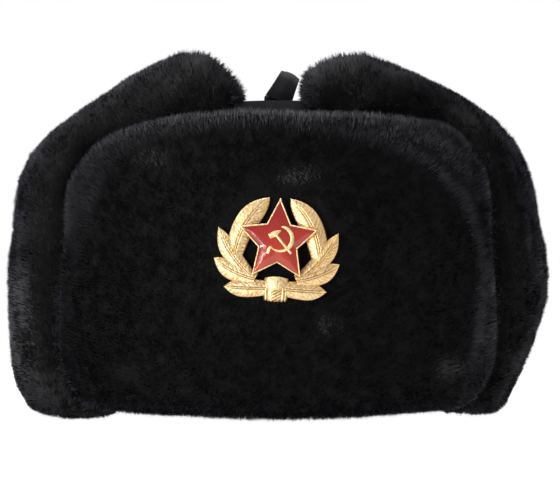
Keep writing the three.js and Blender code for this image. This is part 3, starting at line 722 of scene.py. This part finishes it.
seam_far = np.abs(np.abs(outside[..., 0] - crown_middle.x) - crown_seam)
pucker = 1 + 0.5 * np.sin(outside[..., 1] / 2.1 + 1.5 * np.sin(outside[..., 1] / 7)) * np.exp(-seam_far / 5)
groove = 1.1 * np.exp(-((seam_far / 1.5) ** 2)) + 0.5 * np.exp(-seam_far / 5) * pucker
outside = pulled_in(outside, groove)
arc = turn * (half_wide + half_long) / 2  # mm round the crown
climb = rise * 180  # mm from the rim to the top, over the shoulder
quilt_apart = 36  # mm between quilting lines that run the same way
stitched = [np.abs(np.sin((arc + way * climb) / quilt_apart * math.pi)) for way in (1, -1)]
diamond = np.minimum(*stitched)
inside = pulled_in(inside, 0.9 * smoothstep(0, 0.6, diamond) - 0.9)

edge_deep = 1.6  # mm, how deep the rolled edge is
edge_middle, edge_half = (outside[0] + inside[0]) / 2, (outside[0] - inside[0]) / 2
rolled = []
for angle in np.linspace(0, math.pi, 7)[1:-1]:
    lift = [0, 0, edge_deep * (1 - math.sin(angle))]
    rolled.append(edge_middle + edge_half * math.cos(angle) + lift)
for skin in (outside, inside):
    skin[..., 2] += edge_deep * (1 - smoothstep(0, 0.2, rise))
rows = np.concatenate([outside[::-1], np.array(rolled), inside])
crown = piece_from("crown_sewn", rows.reshape(-1, 3), capped_tube(len(rows), around_count))
inner_cloth = 400  # mm that set the lining's weave apart from the outer cloth's
lengths = np.concatenate([climb[::-1], np.zeros((len(rolled), around_count)), climb + inner_cloth])
across = np.concatenate([arc, np.repeat(arc[:1], len(rolled), 0), arc])
lay_cloth(crown, np.stack([across.ravel(), lengths.ravel()], 1))
print("crown faces:", len(crown.data.polygons))

# %% [markdown]
# ## Cotton gabardine
# The crown's cloth is a dense cotton twill: fine slanting ribs, matt, and very dark. Real ribs are half a
# millimetre apart, which is hardly more than a pixel here, so they are drawn three quarters of one apart.

# %% Crown cloth material
gabardine, tree = new_material("black cotton gabardine")
cloth_map = add_node(tree, "ShaderNodeUVMap", uv_map="cloth")
rib_apart = 0.7464  # mm
rib_scale = 0.2 * math.pi / (rib_apart * math.sqrt(2))  # at scale 1 a wave repeats every 0.2 pi along x + y
ribs = add_node(tree, "ShaderNodeTexWave", {
    "Vector": cloth_map.outputs["UV"], "Scale": rib_scale, "Distortion": 0.6, "Detail": 2.0,
    "Detail Scale": 1.5}, bands_direction="DIAGONAL")
where = add_node(tree, "ShaderNodeTexCoord")
faded = add_node(tree, "ShaderNodeTexNoise", {
    "Vector": where.outputs["Object"], "Scale": 1 / (7 * MM), "Detail": 3.0})
cloudy = add_node(tree, "ShaderNodeMix", {
    "Factor": faded.outputs["Fac"], "A": linear("080809"), "B": linear("111113")}, data_type="RGBA")
ribbed = add_node(tree, "ShaderNodeMix", {
    "Factor": ribs.outputs["Fac"], "A": cloudy.outputs["Result"], "B": linear("161618")}, data_type="RGBA")
relief = add_node(tree, "ShaderNodeBump", {
    "Height": ribs.outputs["Fac"], "Strength": 0.5, "Distance": 0.25 * MM})
give_surface(tree, add_node(tree, "ShaderNodeBsdfPrincipled", {
    "Base Color": ribbed.outputs["Result"], "Roughness": 0.9, "Specular IOR Level": 0.02,
    "Normal": relief.outputs["Normal"]}))
crown.data.materials.append(gabardine)
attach(crown, "root")
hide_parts("crown_middle", "crown_side_left", "crown_side_right")

# %% [markdown]
# ## The tie tapes
# The tapes that hold the ear flaps up are black cotton tape, ten and a half millimetres wide. A tape is a
# flat strip with thick woven edges, so a small closed section is carried along a smooth line. The lines
# are those of the solids.

# %% A strip of tape
tape_wide, tape_thick = 10.6, 1.1
tape_section = np.array([
    (-1.0, 0.0), (-0.985, 0.42), (-0.93, 0.5), (-0.86, 0.47), (-0.78, 0.34), (-0.4, 0.36), (0.0, 0.34),
    (0.4, 0.36), (0.78, 0.34), (0.86, 0.47), (0.93, 0.5), (0.985, 0.42), (1.0, 0.0)])
tape_section = np.concatenate([tape_section, tape_section[-2:0:-1] * [1, -1]])


def smooth_line(points, count):
    """A Catmull-Rom line through points, at even distances."""
    points = np.array(points, float)
    padded = np.concatenate([[2 * points[0] - points[1]], points, [2 * points[-1] - points[-2]]])
    line = []
    for i in range(len(points) - 1):
        p0, p1, p2, p3 = padded[i : i + 4]
        for t in np.linspace(0, 1, 24, endpoint=False):
            line.append(0.5 * (2 * p1 + (p2 - p0) * t + (2 * p0 - 5 * p1 + 4 * p2 - p3) * t**2
                               + (3 * p1 - p0 - 3 * p2 + p3) * t**3))
    line.append(points[-1])
    line = np.array(line)
    far = np.r_[0, np.cumsum(np.linalg.norm(np.diff(line, axis=0), axis=1))]
    even = np.linspace(0, far[-1], count)
    return np.stack([np.interp(even, far, line[:, k]) for k in range(3)], 1), even


def strip(name, route, wide, count, node, cup=0.0, shares=(1.0, 1.0)):
    """Lays a tape along a route; "shares" are of its width, at the ends and in the middle."""
    line, far = smooth_line(route, count)
    along = unit(np.gradient(line, axis=0))
    thick = unit(np.cross(along, wide))
    side = unit(np.cross(thick, along))
    across = tape_section[:, 0] * tape_wide / 2
    height = tape_section[:, 1] * tape_thick
    height = height - cup * tape_section[:, 0] ** 2
    width = (shares[0] + (shares[1] - shares[0]) * np.sin(math.pi * far / far[-1]))[:, None, None]
    points = line[:, None] + width * side[:, None] * across[None, :, None]
    points = points + thick[:, None] * height[None, :, None]
    made = piece_from(name, points.reshape(-1, 3), capped_tube(count, len(across)))
    lay_cloth(made, np.stack([np.tile(across, count), np.repeat(far, len(across))], 1))
    made.data.materials.append(twill)
    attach(made, "root")
    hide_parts(node)
    print(name, "length in mm:", round(float(far[-1]), 1))


# %% [markdown]
# ## Cotton twill tape
# The weave is a herringbone, with a rib every 0.9 mm along the tape. The tape is greyer than the plush,
# because its flat threads catch the light.

# %% Tape material
twill, tree = new_material("black cotton twill tape")
cloth_map = add_node(tree, "ShaderNodeUVMap", uv_map="cloth")
parts = add_node(tree, "ShaderNodeSeparateXYZ", {"Vector": cloth_map.outputs["UV"]})
folded = add_node(tree, "ShaderNodeMath", {0: parts.outputs["X"], 1: 2.5}, operation="PINGPONG")
slant = add_node(tree, "ShaderNodeMath", {
    0: folded.outputs["Value"], 1: parts.outputs["Y"]}, operation="ADD")
thread = add_node(tree, "ShaderNodeMath", {
    0: slant.outputs["Value"], 1: 2 * math.pi / 0.9}, operation="MULTIPLY")
rib = add_node(tree, "ShaderNodeMath", {0: thread.outputs["Value"]}, operation="SINE")
rib_height = add_node(tree, "ShaderNodeMapRange", {
    "Value": rib.outputs["Value"], "From Min": -1.0, "From Max": 1.0})
woven = add_node(tree, "ShaderNodeMix", {
    "Factor": rib_height.outputs["Result"], "A": linear("18181A"), "B": linear("29292E")}, data_type="RGBA")
relief = add_node(tree, "ShaderNodeBump", {
    "Height": rib_height.outputs["Result"], "Strength": 0.5, "Distance": 0.2 * MM})
give_surface(tree, add_node(tree, "ShaderNodeBsdfPrincipled", {
    "Base Color": woven.outputs["Result"], "Roughness": 0.75, "Specular IOR Level": 0.15,
    "Sheen Weight": 0.12, "Sheen Roughness": 0.4, "Sheen Tint": linear("C4C6D2"),
    "Normal": relief.outputs["Normal"]}))


# %% Route of the tapes
knot = {"x": -1.0, "y": 8.0, "long": 10.4, "deep": 7.0, "tall": 4.6}
tape_gap, loop_lean = 0.45, math.radians(25)
shift = np.array([crown_middle.x, crown_middle.y, 0.0])


def crown_height(x, y):
    flat = math.hypot(x / half_wide, y / half_long)
    return crown_rim + (crown_top - crown_rim) * (1 - flat**dome_power) ** (1 / dome_power)


def on_crown(places):
    return [(x + shift[0], y + shift[1], crown_height(x, y) + tape_gap + 0.6) for x, y in places]


tape_routes = {
    "tie_left": [(-14, 8), (-10, 8), (-6.55, 8)],
    "tie_right": [(10, 8), (7, 8), (4.9, 8)],
    "tie_end_left": [(-6.6, 15.4), (-9, 26), (-13, 38), (-19, 50)],
    "tie_end_right": [(4.6, 14.9), (7, 27), (10, 40), (16, 54)],
}
for node, places in tape_routes.items():
    (x0, y0), (x1, y1) = places[0], places[-1]
    strip(node + "_tape", on_crown(places), unit(np.array([y0 - y1, x1 - x0, 0.0])), 60, node)

base = crown_height(knot["x"], knot["y"]) + tape_gap + 0.9
leg = knot["deep"] / 2 + tape_gap + 0.6
front_half = [(-leg, 1.0), (-leg - 0.3, 6.1), (-leg * 0.86, 12), (0, 14.6)]
loop_points = front_half + [(-back, up) for back, up in front_half[-2::-1]]
loop_x, loop_y = shift[0] + knot["x"] + 0.7, shift[1] + knot["y"]
loop_route = [(loop_x + up * math.sin(loop_lean), loop_y + back, base + up * math.cos(loop_lean))
              for back, up in loop_points]
lean_here = loop_lean * np.sin(np.linspace(0, math.pi, 90)) ** 0.6
loop_wide = np.stack([np.cos(lean_here), 0 * lean_here, -np.sin(lean_here)], 1)
strip("bow_loop_tape", loop_route, loop_wide, 90, "bow_loop", cup=-1.1, shares=(1.16, 0.86))

# %% [markdown]
# ## The knot
# The knot is the same tape, wrapped once round itself. It is a squashed barrel whose section bulges between
# its folds.

# %% Knot
wraps, steps = 72, 40
t = np.linspace(-1, 1, steps)[:, None]
angle = np.linspace(0, 2 * math.pi, wraps, endpoint=False)[None, :]
full = (1 - np.abs(t) ** 4) ** 0.25 * 0.5 + 0.5
fold = 1 - 0.1 * np.abs(np.sin(1.5 * math.pi * t + 0.5 * np.sin(angle))) ** 6


def boxy(value):
    return np.sign(value) * np.abs(value) ** 0.6


knot_up = crown_height(knot["x"], knot["y"]) + tape_gap + knot["tall"] / 2
knot_points = np.stack([
    np.broadcast_to(shift[0] + knot["x"] + t * knot["long"] / 2 * 0.98, (steps, wraps)),
    shift[1] + knot["y"] + boxy(np.cos(angle)) * full * fold * knot["deep"] / 2,
    knot_up + boxy(np.sin(angle)) * full * fold * knot["tall"] / 2], -1)
bow_knot = piece_from("bow_knot_tape", knot_points.reshape(-1, 3), capped_tube(steps, wraps))
over_knot, round_knot = np.linspace(0, 10, steps), np.linspace(0, 22, wraps)  # mm of tape
lay_cloth(bow_knot, np.stack([np.repeat(over_knot, wraps), np.tile(round_knot, steps)], 1))
bow_knot.data.materials.append(twill)
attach(bow_knot, "root")
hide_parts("bow_knot")

# %% [markdown]
# ## The badge
# The badge is stamped from brass, gilded, and its star is filled with red glass enamel. The stamping has
# fine relief: every leaf has a raised rib and slanting veins, and the binding is a twisted cord. The
# badge's own flat frame has x to the right, y up and z out of the hat, and one function sets its points on
# the front flap.

# %% Badge's own frame
badge_turn = math.radians(-3.2)
badge_place = np.array([shift[0], shift[1] - 125.4, 73.4])


def on_badge(points):
    x, y, z = np.moveaxis(np.asarray(points, float), -1, 0)
    turned_x = x * math.cos(badge_turn) - y * math.sin(badge_turn)
    turned_y = x * math.sin(badge_turn) + y * math.cos(badge_turn)
    return np.stack([badge_place[0] + turned_x, badge_place[1] - z, badge_place[2] + turned_y], -1)


print("badge middle, from the solid:", badge_middle.round(2).tolist(), "here:", badge_place.round(2).tolist())

# %% Leaves
# Right half of the wreath, from the top leaf down, in mm; "blunt" is the power that rounds off the tip.
leaf_rows = rows_of("base tip width bow blunt lift veins", [
    ((16.6, -6.5), (3.9, 17.1), 8.8, 2.8, 3.0, 0.0, 17),
    ((10.5, -13.0), (23.2, 4.7), 6.9, 1.4, 2.3, 0.25, 14),
    ((8.0, -14.6), (24.3, -7.3), 7.4, 1.2, 2.3, 0.45, 12),
    ((3.0, -17.9), (19.9, -18.2), 7.3, 0.2, 2.3, 0.6, 12),
])
print("leaves:", 2 * len(leaf_rows))


def with_flat_back(top):
    """Closes a grid of points with sides and one flat back; gives its points, faces and rim."""
    rows, columns = top.shape[:2]
    index = np.arange(rows * columns).reshape(rows, columns)
    rim = np.concatenate([index[0], index[1:, -1], index[-1, -2::-1], index[-2:0:-1, 0]])
    flat = top.reshape(-1, 3)
    low = np.arange(len(rim)) + len(flat)
    faces = quads(rows, columns) + [low[::-1].tolist()]
    faces += [[b, a, c, d] for a, b, c, d in zip(rim, np.roll(rim, -1), low, np.roll(low, -1))]
    return np.concatenate([flat, flat[rim] * [1, 1, 0]]), faces, rim


def leaf(row, mirror):
    """The points and faces of one leaf with its veins, and how much tarnish and painted shade each point
    gets.
    """
    long_count, wide_count = 90, 41
    base, tip = np.array(row["base"]), np.array(row["tip"])
    run = tip - base
    side = np.array([run[1], -run[0]]) / np.linalg.norm(run)
    t = np.linspace(0, 1, long_count)[:, None]
    s = np.linspace(-1, 1, wide_count)[None, :]
    out = (t - 0.5) * 2
    full = np.where(out > 0, 1 - np.abs(out) ** row["blunt"], 1 - 0.25 * out**2)
    half = np.maximum(row["width"] / 2 * full, 0.1)
    centre = base + run * t + side * row["bow"] * 4 * t * (1 - t)
    edge = 0.7 + row["lift"]
    ridge = row["lift"] + 1.9 + (1.1 - 1.9) * t**3
    body = edge + (ridge - edge) * (1 - np.abs(s) ** 2.3)

    # Veins are fine scratches of uneven depth; the midrib is a thin ridge between two grooves.
    each_leaf = np.full((1, 1), row["width"] + 3 * mirror)
    grain = np.stack(np.broadcast_arrays(t * 9, s * 1.6, each_leaf), -1).reshape(-1, 3)
    uneven = soft_noise(grain, 1.0, 4.2).reshape(long_count, wide_count)
    vein = np.sin(2 * math.pi * (t * row["veins"] - np.abs(s) * 2.1 + 0.8 * uneven))
    strength = smoothstep(0.04, 0.2, np.abs(s)) * smoothstep(1.0, 0.8, np.abs(s)) * smoothstep(0, 0.08, t)
    strength = strength * (0.55 + 0.9 * np.clip(uneven + 0.2, -0.5, 0.5))
    rib = np.exp(-((s * half / 0.2) ** 2))
    beside = np.exp(-(((np.abs(s) * half - 0.4) / 0.2) ** 2)) * smoothstep(0.97, 0.7, t)
    relief = 0.055 * vein * strength + 0.13 * rib - 0.14 * beside
    height = body + relief * smoothstep(1.0, 0.86, t)
    height = np.where(np.abs(s) > 0.999, edge - 0.15, height)
    across = side[None, None] * (half * s)[..., None]
    top = np.concatenate([np.broadcast_to(centre[:, None], across.shape) + across, height[..., None]], -1)
    points, faces, rim = with_flat_back(top)
    # Tarnish and painted shade: darker brown in the troughs of the veins and beside the midrib, along the
    # edges of the leaf's lower part, and in full on its back.
    tarnish_and_shade = 0.7 * beside + 0.5 * np.clip(-vein, 0, 1) * strength
    tarnish_and_shade = tarnish_and_shade + 0.95 * smoothstep(0.86, 1.0, np.abs(s)) * smoothstep(0.8, 0.3, t)
    groove = np.r_[np.clip(tarnish_and_shade, 0, 1).ravel(), np.ones(len(rim))]
    if mirror:
        points = points * [-1, 1, 1]
        faces = [f[::-1] for f in faces]
    return points, faces, groove


wreath_points, wreath_faces, wreath_tarnish_and_shade = [], [], []


def to_wreath(points, faces, groove):
    start = sum(len(p) for p in wreath_points)
    wreath_points.append(points)
    wreath_faces.extend([[int(k) + start for k in face] for face in faces])
    wreath_tarnish_and_shade.append(groove)


for row in leaf_rows:
    for mirror in (False, True):
        to_wreath(*leaf(row, mirror))

# %% [markdown]
# ## Binding of the wreath
# The two branches are bound by a ribbon that bulges forwards and arches upwards in the middle. Two upright
# collars stand on each side of it, and a twisted cord crosses its lower half.

# %% Binding of the wreath
binding = {"y": -18.3, "tall": 8.6, "half_wide": 4.9, "deep": 2.3, "arch": 0.75}
rows_count, turn_count = 96, 84
v = np.linspace(-1, 1, rows_count)[:, None]
angle = np.linspace(0, math.pi, turn_count)[None, :]
u = -np.cos(angle)
swell = 1 - 0.16 * np.abs(v) ** 2.4
aside = np.abs(u)
in_collar = smoothstep(0.46, 0.56, aside) * smoothstep(1.0, 0.94, aside)
collar = np.sin(2 * math.pi * (aside - 0.52) / 0.24) * in_collar
cord = np.sin(2 * math.pi * (v * 3.8 - u * 2.7))
in_cord = smoothstep(0.44, 0.36, np.abs(u - 0.06)) * smoothstep(0.1, -0.15, v)
ribbon = 0.35 * np.sin(2 * math.pi * u / 0.2) * smoothstep(-0.1, 0.15, v) * smoothstep(0.5, 0.4, aside)
relief = 0.09 * collar * smoothstep(0.5, 0.0, v) + 0.085 * cord * in_cord + 0.025 * ribbon
radius = swell * (1 + relief)
rise = binding["arch"] * (1 - u**2) * smoothstep(0.2, 1.0, v) - 0.35 * (1 - u**2) * smoothstep(-0.4, -1.0, v)
scallop = 0.16 * np.sin(2 * math.pi * u / 0.28) * smoothstep(-0.7, -1.0, v)
binding_top = np.stack([
    0.25 + binding["half_wide"] * u * (1 - 0.05 * np.abs(v) ** 2),
    binding["y"] + v * binding["tall"] / 2 + rise + scallop,
    1.0 + binding["deep"] * radius * np.sin(angle)], -1)
points, faces, rim = with_flat_back(binding_top)
faces = [face[::-1] for face in faces]
# Tarnish and painted shade: darker brown in the cord's grooves, along the ribbon's lower edge, between the
# collars low down, and low on its sides.
tarnish_and_shade = 0.7 * smoothstep(-0.2, -1.0, cord) * in_cord + 0.8 * smoothstep(-0.75, -1.0, v)
tarnish_and_shade = tarnish_and_shade + 0.8 * np.clip(-collar, 0, 1) * smoothstep(0.4, -0.1, v)
tarnish_and_shade = tarnish_and_shade + 0.7 * smoothstep(0.9, 1.0, aside) * smoothstep(0.3, -0.2, v)
to_wreath(points, faces, np.r_[np.clip(tarnish_and_shade, 0, 1).ravel(), np.ones(len(rim))])


def with_tarnish_and_shade(piece, groove):
    layer = piece.data.color_attributes.new("groove", "FLOAT_COLOR", "POINT")
    layer.data.foreach_set("color", np.repeat(np.asarray(groove, np.float32)[:, None], 4, 1).ravel())


wreath = piece_from("badge_wreath_gilt", on_badge(np.concatenate(wreath_points)), wreath_faces)
with_tarnish_and_shade(wreath, np.concatenate(wreath_tarnish_and_shade))
print("wreath faces:", len(wreath.data.polygons))

# %% [markdown]
# ## The star
# The star is a shallow tray with a thin rounded rim. Its shape is a five-pointed star whose sides are all
# moved in by the same distance, row by row, so the rim keeps an even width round every point.

# %% Star's outline
star = {"x": 0.1, "y": 0.3, "outer": 16.2, "inner": 8.0, "wide": 0.99, "tall": 1.03, "rim": 0.6}
star_seat = 2.8


def star_outline(inset, between=1):
    angle = math.pi / 5
    side = math.hypot(star["outer"] - star["inner"] * math.cos(angle), star["inner"] * math.sin(angle))
    distance = star["outer"] * star["inner"] * math.sin(angle) / side
    share = (distance - inset) / distance
    k = np.arange(10)
    radius = np.where(k % 2, star["inner"], star["outer"]) * share
    x, y = -star["wide"] * radius * np.sin(k * angle), star["tall"] * radius * np.cos(k * angle)
    corners = np.stack([x, y], 1)
    steps = np.linspace(0, 1, between, endpoint=False)[None, :, None]
    return (corners[:, None] * (1 - steps) + np.roll(corners, -1, 0)[:, None] * steps).reshape(-1, 2)


def on_star(points):
    return on_badge(np.asarray(points) + [star["x"], star["y"], star_seat])


def star_rows(rows, between):
    """Rows of points on stars that are inset and at a height, both in mm."""
    return np.array([
        np.c_[star_outline(inset, between), np.full(10 * between, height)] for inset, height in rows])


tray_rows = [
    (0.35, 0.0), (0.05, 0.05), (0.0, 0.2), (0.0, 1.95), (0.04, 2.1), (0.13, 2.2),
    (0.26, 2.24), (0.4, 2.22), (0.52, 2.13), (0.58, 2.0), (0.6, 1.8), (0.6, 0.8)]
tray = star_rows(tray_rows, 6)
star_tray = piece_from("badge_star_gilt", on_star(tray.reshape(-1, 3)), capped_tube(*tray.shape[:2]))
with_tarnish_and_shade(star_tray, np.zeros(len(star_tray.data.vertices)))

# %% [markdown]
# ## Hammer and sickle
# The crossed tools stand up from the tray's floor, a little above the rim. Each is drawn as an outline with
# rounded upper edges: the sickle's blade swells in the middle and thins to its point, and the hammer's head
# tapers to an edge at the back.

# %% Crossed tools
tool_top = 2.7
sickle = {"x": 0.7, "y": 1.0, "radius": 4.7, "narrow": 0.45, "wide": 1.6, "from": 86, "to": -141}
steps = 48
t = np.linspace(0, 1, steps)
angle = np.radians(sickle["from"] + (sickle["to"] - sickle["from"]) * t)
half = (sickle["narrow"] + (sickle["wide"] - sickle["narrow"]) * np.sin(math.pi * t**0.7)) / 2
# Half of a tool's section: shares of its half width, and heights in mm.
half_profile = [(1.0, 0.8), (1.0, tool_top - 0.22), (0.84, tool_top - 0.08), (0.5, tool_top - 0.01)]
edge_profile = half_profile + [(0.0, tool_top)] + [(-a, h) for a, h in half_profile[::-1]]
blade = []
for turn, half_here in zip(angle, half):
    for a, h in edge_profile:
        far = sickle["radius"] + half_here * a
        blade.append((sickle["x"] + far * math.cos(turn), sickle["y"] + far * math.sin(turn), h))
tool_points = [np.array(blade)]
tool_faces = capped_tube(steps, len(edge_profile))
# The sickle's handle, the hammer's handle and its head: the middle, the way each points in degrees, how far
# it stands above the sickle's blade, and its half width at places along it, in mm.
straight_parts = [
    {"x": -3.4, "y": -3.5, "turn": 68, "up": 0.0,
     "rows": [(-1.5, 0.5), (-1.4, 0.62), (1.4, 0.55), (1.5, 0.45)]},
    {"x": 2.2, "y": -1.1, "turn": -48, "up": 0.04,
     "rows": [(-4.6, 0.45), (-4.5, 0.52), (4.5, 0.55), (4.6, 0.45)]},
    {"x": -1.3, "y": 2.9, "turn": 31, "up": 0.12,
     "rows": [(-2.5, 0.85), (-2.4, 0.97), (-0.4, 1.15), (0.5, 0.92), (2.5, 0.24), (2.6, 0.15)]},
]
for part in straight_parts:
    turn = math.radians(part["turn"])
    along = np.array([math.cos(turn), math.sin(turn)])
    across = np.array([-math.sin(turn), math.cos(turn)])
    middle = np.array([part["x"], part["y"]])
    bar = []
    for reach, half_here in part["rows"]:
        for a, h in edge_profile:
            bar.append([*(middle + along * reach + across * a * half_here), h + part["up"] * (h > 1)])
    start = sum(len(points) for points in tool_points)
    tool_points.append(np.array(bar))
    tool_faces += [[k + start for k in face] for face in capped_tube(len(part["rows"]), len(edge_profile))]
tools = piece_from("badge_tools_gilt", on_star(np.concatenate(tool_points)), tool_faces)
with_tarnish_and_shade(tools, np.zeros(len(tools.data.vertices)))

# %% [markdown]
# ## Gilt brass
# Gilding is a thin layer of gold on brass: a metal with its own pale yellow reflection. Stamped work is
# satin on the high places, and the grooves, the backs and the foot of the binding are painted dark brown:
# tarnish, and painted shade. The side on the right is painted a deeper colour, as painted shade for the
# lamps on the left.

# %% Gilt material
gilt, tree = new_material("gilt stamped brass")
# The "groove" colour is the tarnish and painted shade of the badge.
groove = add_node(tree, "ShaderNodeVertexColor", layer_name="groove")
where = add_node(tree, "ShaderNodeTexCoord")
grain = add_node(tree, "ShaderNodeTexNoise", {
    "Vector": where.outputs["Object"], "Scale": 1 / (1.1 * MM), "Detail": 4.0})
speckle = add_node(tree, "ShaderNodeMapRange", {
    "Value": grain.outputs["Fac"], "From Min": 0.36, "From Max": 0.62})
bright = add_node(tree, "ShaderNodeMix", {
    "Factor": speckle.outputs["Result"], "A": linear("CFA76A"), "B": linear("F2DAAC")}, data_type="RGBA")
sides = add_node(tree, "ShaderNodeSeparateXYZ", {"Vector": where.outputs["Object"]})
# Painted shade: the gilt is painted a deeper colour towards the right, as for the lamps on the left.
right_side_painted_shade = add_node(tree, "ShaderNodeMapRange", {
    "Value": sides.outputs["X"], "From Min": 0.0, "From Max": 26 * MM, "To Max": 0.8})
with_side_shade = add_node(tree, "ShaderNodeMix", {
    "Factor": right_side_painted_shade.outputs["Result"], "A": bright.outputs["Result"],
    "B": linear("DFB67C")}, data_type="RGBA")
tarnished_and_shaded = add_node(tree, "ShaderNodeMix", {
    "Factor": groove.outputs["Color"], "A": with_side_shade.outputs["Result"], "B": linear("5A3A1C")}, data_type="RGBA")
polish = add_node(tree, "ShaderNodeMapRange", {
    "Value": grain.outputs["Fac"], "To Min": 0.34, "To Max": 0.52})
relief = add_node(tree, "ShaderNodeBump", {
    "Height": grain.outputs["Fac"], "Strength": 0.6, "Distance": 0.16 * MM})
give_surface(tree, add_node(tree, "ShaderNodeBsdfPrincipled", {
    "Base Color": tarnished_and_shaded.outputs["Result"], "Metallic": 1.0, "Roughness": polish.outputs["Result"],
    "Normal": relief.outputs["Normal"]}))
for piece, node in ((wreath, "badge_wreath"), (star_tray, "badge_star"), (tools, None)):
    piece.data.materials.append(gilt)
    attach(piece, "root")
    if node:
        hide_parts(node)

# %% [markdown]
# ## Enamel
# The enamel is coloured glass, melted into the tray. Surface tension rounds it off towards the rim, so it
# stands domed inside the rim and its shoulders catch the light, and it creeps up a little wherever it meets
# the tools.

# %% Enamel's surface
between = 14
insets = np.r_[0.58, 0.66, 0.76, 0.9, 1.08, 1.3, 1.6, 1.95, 2.4, 2.9, 3.4, 4.0, 4.6, 5.2, 5.8, 6.3]
surface = star_rows([(inset, 0.0) for inset in insets], between)
flat = surface[..., :2]
sickle_far = np.abs(np.hypot(flat[..., 0] - sickle["x"], flat[..., 1] - sickle["y"]) - sickle["radius"])
sickle_turn = np.degrees(np.arctan2(flat[..., 1] - sickle["y"], flat[..., 0] - sickle["x"]))
sickle_far = np.where((sickle_turn < sickle["from"]) & (sickle_turn > sickle["to"]), sickle_far - 0.6, 9)


def part_far(part):
    """How far each point of the enamel is from a straight part, in mm."""
    turn = math.radians(part["turn"])
    reach, wide_here = part["rows"][-1][0], max(row[1] for row in part["rows"])
    x, y = flat[..., 0] - part["x"], flat[..., 1] - part["y"]
    along = np.abs(x * math.cos(turn) + y * math.sin(turn)) - reach
    across = np.abs(y * math.cos(turn) - x * math.sin(turn)) - wide_here
    return np.hypot(np.maximum(along, 0), np.maximum(across, 0))


metal_far = np.minimum.reduce([np.maximum(sickle_far, 0)] + [part_far(part) for part in straight_parts])
rim_far = np.maximum(insets - 0.6, 0)[:, None]
surface[..., 2] = 1.78 + 0.9 * (1 - np.exp(-rim_far / 2.5)) + 0.08 * np.exp(-metal_far / 0.3)
low = surface[:1].copy()
low[..., 2] = 0.85
rows = np.concatenate([low, surface])
enamel = piece_from("badge_enamel_glass", on_star(rows.reshape(-1, 3)), capped_tube(*rows.shape[:2]))

# %% Enamel material
glass_enamel, tree = new_material("red glass enamel")
where = add_node(tree, "ShaderNodeTexCoord")
depth = add_node(tree, "ShaderNodeTexNoise", {
    "Vector": where.outputs["Object"], "Scale": 1 / (9 * MM), "Detail": 3.0})
parts = add_node(tree, "ShaderNodeSeparateXYZ", {"Vector": where.outputs["Object"]})
# Painted reflection: the enamel is painted a lighter orange towards the bottom, for the pale table that it
# faces there.
reflection_height = add_node(tree, "ShaderNodeMapRange", {
    "Value": parts.outputs["Z"], "From Min": 62 * MM, "From Max": 84 * MM})
painted_floor_reflection = add_node(tree, "ShaderNodeMix", {
    "Factor": reflection_height.outputs["Result"], "A": linear("C4421E"), "B": linear("8A140F")}, data_type="RGBA")
red = add_node(tree, "ShaderNodeMix", {
    "Factor": depth.outputs["Fac"], "A": linear("780E0A"), "B": painted_floor_reflection.outputs["Result"]}, data_type="RGBA")
ripple = add_node(tree, "ShaderNodeBump", {
    "Height": depth.outputs["Fac"], "Strength": 0.2, "Distance": 0.4 * MM})
give_surface(tree, add_node(tree, "ShaderNodeBsdfPrincipled", {
    "Base Color": red.outputs["Result"], "Roughness": 0.1, "IOR": 1.6, "Normal": ripple.outputs["Normal"]}))
enamel.data.materials.append(glass_enamel)
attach(enamel, "root")
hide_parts("badge_enamel")

# %% Finish
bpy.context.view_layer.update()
faces_in_all = sum(sum(len(p.vertices) - 2 for p in o.data.polygons) for o in bpy.data.objects
                   if o.type == "MESH" and not o.hide_render)
print("triangles in all, shown:", faces_in_all)
